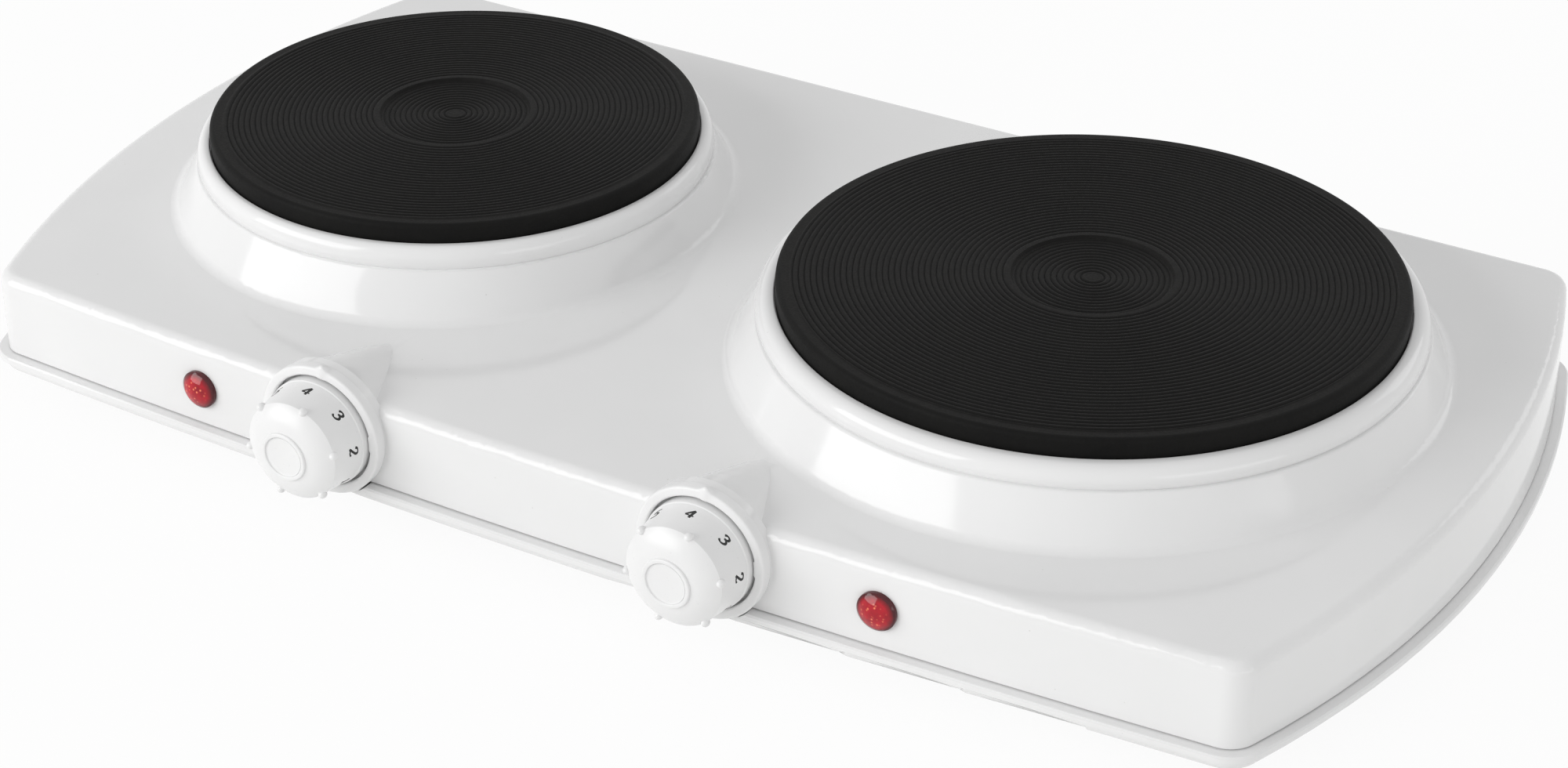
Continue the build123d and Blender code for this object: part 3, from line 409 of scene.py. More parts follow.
# Zinc-plated steel: bluish grey, bright, with drawn lines.
STEEL = DrawnMetal("zinc_plated_steel", "#9b9da1", "#bcbec2", 5.0, 0.5, 0.008, (0.25, 0.42), metallic=1.0)

SLOT_FINISHES: dict[str, Finish] = {
    "white_enamel": ENAMEL,
    "cast_iron": IRON,
    "white_plastic": PLASTIC,
    "red_lens": LENS,
    "bulb_glass": BULB,
    "foot_rubber": RUBBER,
    "ceramic": CERAMIC,
    "black_plastic": NYLON,
    "brass": BRASS,
    "lead_sleeve": SLEEVE,
    "element_sheath": SHEATH,
    "plated_sheet": SHEET,
    "steel": STEEL,
}


class Wardrobe:
    """Makes each finish's material once and hands it out."""

    def __init__(self) -> None:
        """Starts with no material made."""
        self.made: dict[str, bpy.types.Material] = {}

    def dress(self, piece: bpy.types.Object, finish: Finish) -> None:
        """Puts a finish on a piece.

        Args:
            piece: Mesh object that gets the material in all its slots.
            finish: Finish to put on.
        """
        if finish.title not in self.made:
            self.made[finish.title] = finish.material()
        piece.data.materials.clear()
        piece.data.materials.append(self.made[finish.title])


# Shapes


@dataclass(frozen=True)
class Shape:
    """Vertices in millimetres, triangles, and one number per vertex that a finish may read as ridge."""

    points: Array
    faces: Indices
    ridge: Array

    def welded(self) -> "Shape":
        """Merges vertices in the same place and drops triangles that this leaves without area.

        Returns:
            The same surface with closed seams and poles.
        """
        keys = np.round(self.points / WELD_MM).astype(np.int64)
        _, first, place = np.unique(keys, axis=0, return_index=True, return_inverse=True)
        faces = place.reshape(-1)[self.faces]
        a, b, c = faces.T
        return Shape(self.points[first], faces[(a != b) & (b != c) & (c != a)], self.ridge[first])

    def outward(self) -> "Shape":
        """Turns the triangles so that the signed volume, a sum of a . (b x c), is positive.

        Returns:
            The same surface, facing outwards.
        """
        a, b, c = (self.points[corner] for corner in self.faces.T)
        turned_in = np.einsum("ij,ij->", a - self.points.mean(0), np.cross(b - a, c - a)) < 0
        return Shape(self.points, self.faces[:, ::-1] if turned_in else self.faces, self.ridge)


def joined(shapes: list[Shape]) -> Shape:
    """Puts several shapes into one.

    Args:
        shapes: Shapes that keep their own vertices.

    Returns:
        One shape that holds them all.
    """
    starts = np.cumsum([0] + [len(shape.points) for shape in shapes])
    faces = [shape.faces + start for shape, start in zip(shapes, starts)]
    points = np.concatenate([shape.points for shape in shapes])
    return Shape(points, np.concatenate(faces), np.concatenate([shape.ridge for shape in shapes]))


def grid(points: Array, wrap_rows: bool, wrap_columns: bool, ridge: Array | None = None) -> Shape:
    """Surface through a grid of points: each cell of four neighbours is two triangles.

    Args:
        points: Points as rows x columns x 3.
        wrap_rows: Whether the last row joins the first.
        wrap_columns: Whether the last column joins the first.
        ridge: One number per point, zero where not given.

    Returns:
        The closed or open surface, facing outwards.
    """
    rows, columns = points.shape[:2]
    index = np.arange(rows * columns).reshape(rows, columns)
    index = np.vstack([index, index[:1]]) if wrap_rows else index
    index = np.hstack([index, index[:, :1]]) if wrap_columns else index
    a, b, c, d = index[:-1, :-1], index[1:, :-1], index[1:, 1:], index[:-1, 1:]
    faces = np.concatenate([np.stack(corners, -1).reshape(-1, 3) for corners in ((a, b, c), (a, c, d))])
    values = np.zeros(rows * columns) if ridge is None else ridge.reshape(-1)
    return Shape(points.reshape(-1, 3), faces, values).welded().outward()


def rounded(corners: Sequence[Sequence[float]], radii: Sequence[float], steps: int = CORNER_STEPS) -> Array:
    """Open outline with rounded corners.

    At a corner B between A and C, with a corner angle g, the arc of radius r starts r / tan(g / 2) from B on
    both sides, at P and Q. With w = sin(g / 2), its points are
    ((1 - t)^2 P + 2 t (1 - t) w B + t^2 Q) / ((1 - t)^2 + 2 t (1 - t) w + t^2).

    Args:
        corners: Points of the outline, with both ends.
        radii: Radius at each corner between the two ends.
        steps: Points on each arc.

    Returns:
        Points along the outline.
    """
    points = np.array(corners)
    corner = points[1:-1]
    back = points[:-2] - corner
    ahead = points[2:] - corner
    back = back / np.linalg.norm(back, axis=1, keepdims=True)
    ahead = ahead / np.linalg.norm(ahead, axis=1, keepdims=True)
    half = np.arccos(np.clip((back * ahead).sum(1), -1, 1)) / 2
    reach = (np.array(radii) / np.tan(half))[:, None]
    t = np.linspace(0, 1, steps)[None, :, None]
    weights = ((1 - t) ** 2, 2 * t * (1 - t) * np.sin(half)[:, None, None], t**2)
    ends = (corner + reach * back, corner, corner + reach * ahead)
    arcs = sum(w * p[:, None, :] for w, p in zip(weights, ends)) / sum(weights)
    return np.concatenate([points[:1], arcs.reshape(-1, 2), points[-1:]])


@dataclass(frozen=True)
class Axle:
    """Line that shapes are turned about, with the direction of angle zero.

    Angles run clockwise seen from its tip.
    """

    origin: Triple
    axis: Triple
    zero: Triple

    def at(self, radius: Array, angle: Array, height: Array) -> Array:
        """Points at origin + height axis + radius (cos(angle) zero + sin(angle) side), side = zero x axis.

        Args:
            radius: Distances from the axle; these three fit together as arrays in a sum do.
            angle: Angles from zero, in radians.
            height: Distances along the axle.

        Returns:
            Points with a last dimension of 3.
        """
        radius, angle, height = (part[..., None] for part in np.broadcast_arrays(radius, angle, height))
        axis, zero = np.array(self.axis), np.array(self.zero)
        spoke = np.cos(angle) * zero + np.sin(angle) * np.cross(zero, axis)
        return np.array(self.origin) + height * axis + radius * spoke

    def turned(
        self, profile: Array, segments: int, closed: bool = False, ridge: Array | None = None
    ) -> Shape:
        """Surface that a profile of (radius, height) rows sweeps round the axle.

        Args:
            profile: Rows of radius and height.
            segments: Steps round the axle.
            closed: Whether the last row joins the first.
            ridge: One number per row.

        Returns:
            The turned surface.
        """
        angle = np.linspace(0, FULL_TURN, segments, endpoint=False)
        values = None if ridge is None else np.repeat(ridge[:, None], segments, 1)
        return grid(self.at(profile[:, :1], angle, profile[:, 1:]), closed, True, values)


def smooth_step(edge: float, end: float, value: Array) -> Array:
    """Rises from 0 at edge to 1 at end as 3t^2 - 2t^3."""
    t = np.clip((value - edge) / (end - edge), 0, 1)
    return t * t * (3 - 2 * t)


@dataclass(frozen=True)
class Workshop:
    """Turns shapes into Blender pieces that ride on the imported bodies."""

    wardrobe: Wardrobe

    def piece(
        self,
        name: str,
        shape: Shape,
        body: Body,
        slot: str,
        finish: Finish,
        stands_for: tuple[str, ...] = (),
        crease: float = 40.0,
    ) -> bpy.types.Object:
        """Makes one piece of the object.

        Args:
            name: Name of the piece.
            shape: Its surface, in millimetres.
            body: Body that it rides on.
            slot: Material slot of the record; not used.
            finish: Finish that it gets.
            stands_for: CAD nodes that it replaces.
            crease: Angle in degrees past which an edge stays sharp.

        Returns:
            The new object, at the origin.
        """
        mesh = bpy.data.meshes.new(name)
        mesh.from_pydata((shape.points * MM).tolist(), [], shape.faces.tolist())
        mesh.polygons.foreach_set("use_smooth", np.ones(len(mesh.polygons), bool))
        mesh.set_sharp_from_angle(angle=radians(crease))
        ridge = mesh.attributes.new("ridge", "FLOAT", "POINT")
        ridge.data.foreach_set("value", shape.ridge.astype(np.float32))
        mesh.update()
        made = bpy.data.objects.new(name, mesh)
        bpy.context.scene.collection.objects.link(made)
        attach(made, body.value)
        if stands_for:
            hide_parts(*stands_for)
        self.wardrobe.dress(made, finish)
        log.info("%s: %d triangles on %s", name, len(shape.faces), body.value)
        return made


# Pieces of the hot plate


@dataclass(frozen=True)
class Pressing:
    """An enamelled steel pressing whose CAD form is right and only needs its facets smoothed."""

    node: str
    crease: float = 30.0

    def shape(self) -> Shape:
        """Merged copy of the CAD node's loose triangles.

        Returns:
            The node's surface with shared vertices.
        """
        mesh = frame["nodes"][self.node].data
        points = np.empty(len(mesh.vertices) * 3)
        mesh.vertices.foreach_get("co", points)
        mesh.calc_loop_triangles()
        faces = np.empty(len(mesh.loop_triangles) * 3, np.int64)
        mesh.loop_triangles.foreach_get("vertices", faces)
        points = points.reshape(-1, 3) / MM
        return Shape(points, faces.reshape(-1, 3), np.zeros(len(points))).welded()

    def build(self, workshop: Workshop) -> None:
        """Makes the smoothed pressing, with normals led by its large faces.

        Args:
            workshop: Workshop that makes the piece.
        """
        name = f"{self.node}_pressing"
        made = workshop.piece(
            name, self.shape(), Body.BASE, "white_enamel", ENAMEL, (self.node,), self.crease
        )
        lead = made.modifiers.new("large_faces_lead", "WEIGHTED_NORMAL")
        lead.keep_sharp = True


@dataclass(frozen=True)
class Burner:
    """Cooking plate with concentric ridges, and the trim ring around it.

    A pair says where a smooth step begins and ends: groove_start from the middle, groove_break from the edge
    of the recess, groove_end and margin_slope from the inner edge of the margin.
    """

    name: str
    x: float
    y: float
    plate_radius: float
    ring_radius: float
    segments: int
    plate_top: float = 70.0
    plate_rim: float = 62.2
    plate_under: float = 60.0
    body_step: float = 6.3
    rim_radius: float = 1.6
    under_radius: float = 0.5
    edge_radius: float = 0.2
    side_ridge: float = 0.4
    margin: float = 4.2
    margin_drop: float = 0.25
    margin_slope: tuple[float, float] = (1.2, 1.8)
    recess_radius: float = 24.0
    recess_depth: float = 1.0
    recess_slope: float = 0.8
    groove_pitch: float = 1.75
    groove_depth: float = 0.4
    groove_start: tuple[float, float] = (1.5, 3.0)
    groove_end: tuple[float, float] = (1.0, 1.6)
    groove_break: tuple[float, float] = (0.9, 1.6)
    rows_per_groove: int = 6
    stud_hole: float = 3.05
    stud_seat: float = 66.0
    channel: float = 2.3
    channel_shares: tuple[float, float] = (0.7, 0.45)
    boss_top: float = 57.0
    ring_top: float = 64.0
    ring_tuck: float = 0.36
    ring_steps: int = 20
    roll_radius: float = 0.45
    fold_radius: float = 0.1
    collar_gap: float = 0.3
    sheet: float = 1.0

    @property
    def axle(self) -> Axle:
        """Upright axle through the plate's middle."""
        return Axle((self.x, self.y, 0.0), (0.0, 0.0, 1.0), (1.0, 0.0, 0.0))

    def plate_face(self) -> tuple[Array, Array]:
        """Upper face of the plate.

        Height is the top, less a recess that ends in a smooth step, less a groove of depth times
        ((1 + cos(2 pi r / pitch)) / 2)^3, which fades out at the middle, beside the recess edge and at the
        plain margin.

        Returns:
            Rows of radius and height from the middle outwards, and the ridge number of each row.
        """
        end = self.plate_radius - self.rim_radius
        radius = np.arange(0, end, self.groove_pitch / self.rows_per_groove)
        past_margin = radius - (end - self.margin)
        past_recess = radius - self.recess_radius
        groove = ((1 + np.cos(FULL_TURN * radius / self.groove_pitch)) / 2) ** 3
        groove *= smooth_step(*self.groove_start, radius)
        groove *= 1 - smooth_step(*self.groove_end, past_margin)
        groove *= smooth_step(*self.groove_break, np.abs(past_recess))
        height = self.plate_top - self.groove_depth * groove
        height -= self.recess_depth * (1 - smooth_step(-self.recess_slope, 0.0, past_recess))
        height -= self.margin_drop * smooth_step(*self.margin_slope, past_margin)
        return np.stack([radius, height], 1), 1 - groove

    def plate(self) -> Shape:
        """Plate turned from its ridged face, rounded rim, side and underside with two element channels.

        Returns:
            The closed plate.
        """
        face, ridge = self.plate_face()
        body = self.plate_radius - self.body_step
        rim_top = self.plate_top - self.margin_drop
        corners = [face[-1].tolist(), [self.plate_radius, rim_top], [self.plate_radius, self.plate_rim]]
        corners += [[body, self.plate_rim], [body, self.plate_under]]
        for share in self.channel_shares:
            middle = share * self.plate_radius
            roof = self.plate_under + 2 * self.channel
            outer, inner = middle + self.channel, middle - self.channel
            corners += [[outer, self.plate_under], [outer, roof], [inner, roof], [inner, self.plate_under]]
        corners += [[self.stud_hole, self.plate_under], [self.stud_hole, self.stud_seat]]
        corners += [[0.0, self.stud_seat]]
        radii = [self.edge_radius] * (len(corners) - 2)
        radii[:2] = self.rim_radius, self.under_radius
        edge = rounded(corners, radii)
        ridges = np.concatenate([ridge, np.full(len(edge), self.side_ridge)])
        return self.axle.turned(np.concatenate([face, edge]), self.segments, ridge=ridges)

    def ring(self) -> Shape:
        """Trim ring of sheet: rolled outside, with a rolled inner edge and a ledge under the plate.

        The outside is an ellipse about a point some way up the ring, from below its middle to the top, so the
        ring tucks in a little where it meets the boss: radius = crown + width cos(t) and
        height = middle + (top - middle) sin(t).

        Returns:
            The closed ring.
        """
        collar = self.plate_radius + self.collar_gap
        crown = collar + self.sheet
        width = self.ring_radius - crown
        rise = (self.ring_top - self.boss_top) * (1 - self.ring_tuck)
        tuck = -np.arcsin(self.ring_tuck / (1 - self.ring_tuck))
        turn = np.linspace(tuck, np.pi / 2, self.ring_steps)
        ellipse = np.stack([np.cos(turn), np.sin(turn)], 1)
        middle = np.array([crown, self.ring_top - rise])
        outside = middle + ellipse * [width, rise]
        inside = middle + ellipse[::-1] * [width - self.sheet, rise - self.sheet]
        ledge = self.plate_radius - self.body_step + self.collar_gap
        rim, under = self.plate_rim, self.plate_rim - self.sheet
        corners = [[crown, self.ring_top], [collar, self.ring_top], [collar, rim], [ledge, rim]]
        corners += [[ledge, under], [crown, under], [crown, self.ring_top - self.sheet]]
        radii = [self.fold_radius] * (len(corners) - 2)
        radii[0] = self.roll_radius
        edge = rounded(corners, radii)
        return self.axle.turned(np.concatenate([outside, edge, inside]), self.segments, closed=True)

    def build(self, workshop: Workshop) -> None:
        """Makes the plate and its trim ring.

        Args:
            workshop: Workshop that makes the pieces.
        """
        name = self.name
        plate, ring = (f"{name}_plate",), (f"{name}_trim_ring",)
        workshop.piece(f"{name}_ridged_plate", self.plate(), Body.BASE, "cast_iron", IRON, plate)
        workshop.piece(f"{name}_rolled_ring", self.ring(), Body.BASE, "white_enamel", ENAMEL, ring)


class Numeral(Enum):
    """Numbers on a dial as pen strokes, each a smooth line through points on a field 1 high."""

    ZERO = (
        (
            *((0.3, 1.0), (0.08, 0.8), (0.03, 0.5), (0.1, 0.15), (0.3, 0.0)),
            *((0.5, 0.2), (0.57, 0.5), (0.5, 0.85), (0.3, 1.0)),
        ),
    )
    ONE = (
        ((0.16, 0.78), (0.34, 1.0)),
        ((0.34, 1.0), (0.34, 0.5), (0.34, 0.0)),
        ((0.16, 0.0), (0.52, 0.0)),
    )
    TWO = (
        (
            *((0.06, 0.74), (0.12, 0.93), (0.3, 1.0), (0.49, 0.9)),
            *((0.48, 0.66), (0.3, 0.38), (0.14, 0.18), (0.04, 0.02)),
        ),
        ((0.04, 0.02), (0.2, 0.06), (0.4, 0.0), (0.58, 0.08)),
    )
    THREE = (
        ((0.08, 0.82), (0.18, 0.96), (0.34, 1.0), (0.5, 0.88), (0.46, 0.66), (0.24, 0.55)),
        ((0.24, 0.55), (0.48, 0.48), (0.56, 0.26), (0.42, 0.05), (0.22, 0.0), (0.04, 0.14)),
    )
    FOUR = (
        ((0.42, 1.0), (0.22, 0.66), (0.02, 0.3)),
        ((0.02, 0.3), (0.62, 0.3)),
        ((0.42, 1.0), (0.42, 0.5), (0.42, 0.0)),
    )
    FIVE = (
        ((0.56, 1.0), (0.18, 0.98)),
        ((0.18, 0.98), (0.12, 0.56)),
        ((0.12, 0.56), (0.3, 0.64), (0.5, 0.54), (0.56, 0.3), (0.42, 0.06), (0.2, 0.0), (0.04, 0.12)),
    )


def through(knots: Array, steps: int) -> Array:
    """Smooth line through knots: between two of them a cubic with slopes of half the step across each knot.

    Args:
        knots: Points as n x 2.
        steps: Points per span.

    Returns:
        Points along the line.
    """
    padded = np.concatenate([2 * knots[:1] - knots[1:2], knots, 2 * knots[-1:] - knots[-2:-1]])
    before, start, end, after = padded[:-3], padded[1:-2], padded[2:-1], padded[3:]
    t = np.linspace(0, 1, steps, endpoint=False)[None, :, None]
    out_slope = ((end - before) / 2)[:, None, :]
    in_slope = ((after - start) / 2)[:, None, :]
    line = (2 * t**3 - 3 * t**2 + 1) * start[:, None, :] + (t**3 - 2 * t**2 + t) * out_slope
    line = line + (3 * t**2 - 2 * t**3) * end[:, None, :] + (t**3 - t**2) * in_slope
    return np.concatenate([line.reshape(-1, 2), knots[-1:]])


@dataclass(frozen=True)
class Dial:
    """Turning control: a bezel with a pointer, and a domed knob with numbers round its skirt.

    Angles are in degrees, clockwise from the top as the user sees it. Heights start at the bezel's seat.
    """

    side: Side
    body: Body
    x: float
    z: float = 30.5
    seat_y: float = -112.8
    segments: int = 288
    bezel_radius: float = 20.8
    bezel_bore: float = 17.8
    bezel_depth: float = 3.6
    bezel_round: float = 0.8
    bezel_foot_round: float = 0.2
    bezel_steps: int = 7
    pointer_width: float = 1.5
    pointer_reach: float = 1.6
    pointer_angle: float = 6.0
    pointer_slope: tuple[float, float] = (0.6, 2.4)
    pointer_proud: float = 0.35
    lug_reach: float = 0.5
    lug_from: float = 80.0
    lug_to: float = 97.0
    lug_fade: float = 1.5
    skirt_start: float = 0.7
    collar_radius: float = 17.0
    collar_end: float = 5.0
    collar_slope: float = 0.3
    skirt_radius: float = 16.7
    grip_radius: float = 15.4
    dome_start: float = 16.6
    dome_radius: float = 11.8
    dome_reach: float = 19.2
    dome_steps: int = 22
    face_radius: float = 7.7
    face_reach: float = 20.7
    bead_width: float = 1.4
    bead_rise: float = 0.5
    bead_step: float = 0.25
    face_rounds: tuple[float, ...] = (0.35, 0.45, 0.45)
    face_steps: int = 6
    back_rounds: tuple[float, ...] = (0.15, 0.2, 0.3, 0.3, 0.3, 0.2, 0.1)
    knob_crease: float = 28.0
    cavity_radius: float = 14.6
    cavity_depth: float = 8.0
    bore_radius: float = 3.05
    bore_end: float = 16.0
    nub_angle: float = 19.5
    nub_count: int = 6
    nub_size: tuple[float, float, float] = (1.2, 1.25, 1.5)
    nub_grid: tuple[int, int] = (24, 15)
    number_height: float = 3.2
    number_breadth: float = 1.4
    number_middle: float = 8.8
    number_slant: float = 0.15
    number_step: float = 42.5
    first_number: float = 173.0
    thin_stroke: float = 0.45
    thick_stroke: float = 0.85
    stroke_steps: int = 8
    field_middle: tuple[float, float] = (0.3, 0.5)
    ink_rise: float = 0.04
    ink_root: float = 0.08

    @property
    def axle(self) -> Axle:
        """Axle of the dial, pointing at the user, with angle zero at the top."""
        return Axle((self.x, self.seat_y, self.z), (0.0, -1.0, 0.0), (0.0, 0.0, 1.0))

    def bezel(self) -> Shape:
        """Ring of a rounded rectangle, swept round the axle.

        Its outer radius rises by reach exp(-(arc / width)^2) near the top, more towards the front, which is
        the pointer, and its bore narrows by a small lug between two angles.

        Returns:
            The closed ring.
        """
        half = (self.bezel_radius + self.bezel_bore) / 2
        corners = [[half, 0.0], [self.bezel_radius, 0.0], [self.bezel_radius, self.bezel_depth]]
        corners += [[self.bezel_bore, self.bezel_depth], [self.bezel_bore, 0.0], [half, 0.0]]
        rounds = [self.bezel_foot_round, self.bezel_round, self.bezel_round, self.bezel_foot_round]
        profile = rounded(corners, rounds, self.bezel_steps)
        radius, height = profile[:-1, :1], profile[:-1, 1:]
        angle = np.linspace(-np.pi, np.pi, self.segments, endpoint=False)
        outer = smooth_step(half, self.bezel_radius, radius) * smooth_step(*self.pointer_slope, height)
        arc = (angle - radians(self.pointer_angle)) * self.bezel_radius
        swell = np.exp(-((arc / self.pointer_width) ** 2))
        degrees_round = np.degrees(angle)
        lug = smooth_step(self.lug_from, self.lug_from + self.lug_fade, degrees_round)
        lug = lug * (1 - smooth_step(self.lug_to - self.lug_fade, self.lug_to, degrees_round))
        inner = 1 - smooth_step(self.bezel_bore, half, radius)
        wide = radius + self.pointer_reach * outer * swell - self.lug_reach * inner * lug
        tip = smooth_step(self.pointer_slope[1], self.bezel_depth, height)
        proud = height + self.pointer_proud * swell * tip
        return grid(self.axle.at(wide, angle, proud), True, True)

    def knob(self) -> Shape:
        """Knob turned from its face, bead, dome, skirt, collar and hollow back.

        The dome is the circle through its start, a point part way and its end on the face.

        Returns:
            The closed knob with its grip nubs.
        """
        first = np.array([self.face_radius, self.face_reach - self.bead_step])
        last = np.array([self.grip_radius, self.dome_start])
        way = np.array([self.dome_radius, self.dome_reach])
        lines = 2 * np.stack([way - first, last - first])
        middle = np.linalg.solve(lines, np.array([way @ way - first @ first, last @ last - first @ first]))
        spokes = [first - middle, last - middle]
        start, end = (np.arctan2(spoke[1], spoke[0]) for spoke in spokes)
        turn = np.linspace(start, end, self.dome_steps)
        dome = middle + np.linalg.norm(spokes[0]) * np.stack([np.cos(turn), np.sin(turn)], 1)
        bead = self.face_radius - self.bead_width
        top = self.face_reach + self.bead_rise
        corners = [[0.0, self.face_reach], [bead, self.face_reach], [bead, top]]
        corners += [[self.face_radius, top], dome[0].tolist()]
        face = rounded(corners, self.face_rounds, self.face_steps)
        corners = [dome[-1].tolist(), [self.skirt_radius, self.collar_end + self.collar_slope]]
        corners += [[self.collar_radius, self.collar_end]]
        corners += [[self.collar_radius, self.skirt_start], [self.cavity_radius, self.skirt_start]]
        corners += [[self.cavity_radius, self.cavity_depth], [self.bore_radius, self.cavity_depth]]
        corners += [[self.bore_radius, self.bore_end], [0.0, self.bore_end]]
        back = rounded(corners, self.back_rounds)
        body = self.axle.turned(np.concatenate([face, dome[1:-1], back]), self.segments)
        angles = radians(self.nub_angle) + np.arange(self.nub_count) * FULL_TURN / self.nub_count
        return joined([body] + [self.nub(angle) for angle in angles])

    def nub(self, angle: float) -> Shape:
        """Small ellipsoid on the edge of the dome.

        Its points are its centre + sizes * (cos v cos u, cos v sin u, sin v), out, across and along the dial.

        Args:
            angle: Place round the dial in radians.

        Returns:
            The closed ellipsoid.
        """
        across, out, along = self.nub_size
        columns, rows = self.nub_grid
        round_it = np.linspace(0, FULL_TURN, columns, endpoint=False)
        u, v = np.meshgrid(round_it, np.linspace(-np.pi / 2, np.pi / 2, rows))
        radius = self.grip_radius + out * np.cos(v) * np.cos(u)
        turn = angle + across * np.cos(v) * np.sin(u) / self.grip_radius
        height = self.dome_start + along * np.sin(v)
        return grid(self.axle.at(radius, turn, height), False, True)

    def stroke(self, knots: Array, angle: float) -> Shape:
        """One pen stroke on the skirt.

        The pen is broad when it moves up or down: width = thin + (thick - thin) |sin(direction)|. The flat
        ribbon has four corners per step, two above the skirt and two below it, and closes to a point at each
        end. Across the skirt, angle = x / radius.

        Args:
            knots: Points of the stroke on a field 1 high.
            angle: Place of the number round the dial in radians.

        Returns:
            The closed ribbon.
        """
        line = through(knots, self.stroke_steps) - self.field_middle
        line = line * [self.number_breadth * self.number_height, self.number_height]
        line = line + np.stack([self.number_slant * line[:, 1], np.zeros(len(line))], 1)
        heading = np.gradient(line, axis=0)
        heading = heading / np.linalg.norm(heading, axis=1, keepdims=True)
        breadth = self.thin_stroke + (self.thick_stroke - self.thin_stroke) * np.abs(heading[:, 1])
        aside = np.stack([-heading[:, 1], heading[:, 0]], 1) * breadth[:, None] / 2
        flat = np.stack([line + aside, line - aside, line - aside, line + aside], 1)
        flat = np.concatenate([np.repeat(line[:1, None], 4, 1), flat, np.repeat(line[-1:, None], 4, 1)])
        depth = self.number_middle - flat[..., 1]
        slope = (self.skirt_radius - self.grip_radius) / (self.dome_start - self.collar_end)
        skirt = self.skirt_radius - slope * (depth - self.collar_end)
        rise = np.array([self.ink_rise, self.ink_rise, -self.ink_root, -self.ink_root])
        turn = angle + flat[..., 0] / self.skirt_radius
        return grid(self.axle.at(skirt + rise, turn, depth), False, True)

    def numbers(self) -> Shape:
        """Numbers 0 to 5 printed round the skirt, tops towards the bezel.

        Returns:
            All strokes of all numbers.
        """
        strokes = [
            self.stroke(np.array(knots), radians(self.first_number - index * self.number_step))
            for index, numeral in enumerate(Numeral)
            for knots in numeral.value
        ]
        return joined(strokes)

    def build(self, workshop: Workshop) -> None:
        """Makes the bezel, the knob and its numbers.

        Args:
            workshop: Workshop that makes the pieces.
        """
        name = self.side.value
        bezel, knob = (f"{name}_bezel",), (f"{name}_knob",)
        workshop.piece(f"{name}_pointer_bezel", self.bezel(), Body.BASE, "white_plastic", PLASTIC, bezel)
        workshop.piece(
            f"{name}_domed_knob", self.knob(), self.body, "white_plastic", PLASTIC, knob, self.knob_crease
        )
        workshop.piece(f"{name}_numbers", self.numbers(), self.body, "black_plastic", INK)


@dataclass(frozen=True)
class PilotLamp:
    """Red lens pushed through the bowed front wall, part of a cylinder about an upright line at x = 0."""

    side: Side
    x: float
    z: float = 27.0
    front_radius: float = 3486.45
    front_centre_y: float = 3373.95
    radius: float = 6.0
    edge: float = 1.2
    rise: float = 3.6
    dome_inset: float = 0.5
    dome_steps: int = 40
    prism_radius: float = 5.7
    prism_rise: float = 0.02
    tail_radius: float = 4.8
    tail: float = 9.0
    bore: float = 3.6
    front: float = 1.8
    rounds: tuple[float, ...] = (0.4, 0.1, 0.1, 0.2, 0.2, 0.2)
    segments: int = 96

    @property
    def axle(self) -> Axle:
        """Axle square to the bowed wall, pointing out of it.

        Returns:
            The axle, with angle zero at the top.
        """
        depth = float(np.sqrt(self.front_radius**2 - self.x**2))
        outward = (self.x / self.front_radius, -depth / self.front_radius, 0.0)
        return Axle((self.x, self.front_centre_y - depth, self.z), outward, (0.0, 0.0, 1.0))

    def lens(self) -> Shape:
        """Lens turned from a shallow dome, a rounded edge and a hollow tail.

        Inside the prism radius the dome rises by (1 - |2 frac(x / p) - 1|)(1 - |2 frac(z / p) - 1|) times the
        prisms' rise, a field of small pyramids that fades towards the rim.

        Returns:
            The closed lens.
        """
        radius = np.linspace(0, self.radius - self.dome_inset, self.dome_steps)
        dome_rise = self.rise - self.edge
        ball = (self.radius**2 + dome_rise**2) / (2 * dome_rise)
        height = self.rise - ball + np.sqrt(ball**2 - radius**2)
        inner_end = self.rise - self.front
        corners = [[radius[-1], height[-1]], [self.radius, self.edge], [self.radius, 0.0]]
        corners += [[self.tail_radius, 0.0], [self.tail_radius, -self.tail]]
        corners += [[self.bore, -self.tail], [self.bore, inner_end], [0.0, inner_end]]
        back = rounded(corners, self.rounds)
        profile = np.concatenate([np.stack([radius, height], 1), back])
        angle = np.linspace(0, FULL_TURN, self.segments, endpoint=False)
        wide = np.repeat(profile[:, :1], self.segments, 1)
        inside = np.clip(2 - 2 * wide / self.prism_radius, 0, 1)
        inside[len(radius) :] = 0
        across, up = (wide * wave(angle) / PRISM_MM % 1 for wave in (np.cos, np.sin))
        pyramids = (1 - np.abs(2 * across - 1)) * (1 - np.abs(2 * up - 1))
        tall = profile[:, 1:] + self.prism_rise * inside * pyramids
        return grid(self.axle.at(wide, angle, tall), False, True, inside)

    def build(self, workshop: Workshop) -> None:
        """Makes the lens.

        Args:
            workshop: Workshop that makes the piece.
        """
        name = self.side.value
        workshop.piece(f"{name}_prism_lens", self.lens(), Body.BASE, "red_lens", LENS, (f"{name}_lamp_lens",))


# Studio


@dataclass(frozen=True)
class SoftBox:
    """Rectangular studio lamp, in metres."""

    name: str
    place: Triple
    aim: Triple
    size: tuple[float, float]
    watts: float

    def build(self) -> None:
        """Hangs the lamp and points it at its aim."""
        light = bpy.data.lights.new(self.name, "AREA")
        light.shape = "RECTANGLE"
        light.size, light.size_y = self.size
        light.energy = self.watts
        lamp = bpy.data.objects.new(self.name, light)
        back = np.array(self.place) - np.array(self.aim)
        back = back / np.linalg.norm(back)
        across = np.cross((0.0, 0.0, 1.0), back)
        across = across / np.linalg.norm(across)
        axes = np.stack([across, np.cross(back, across), back], 1)
        lamp.matrix_world = Matrix.Translation(self.place) @ Matrix(axes.tolist()).to_4x4()
        bpy.context.scene.collection.objects.link(lamp)
        log.info("%s: %.0f W", self.name, self.watts)


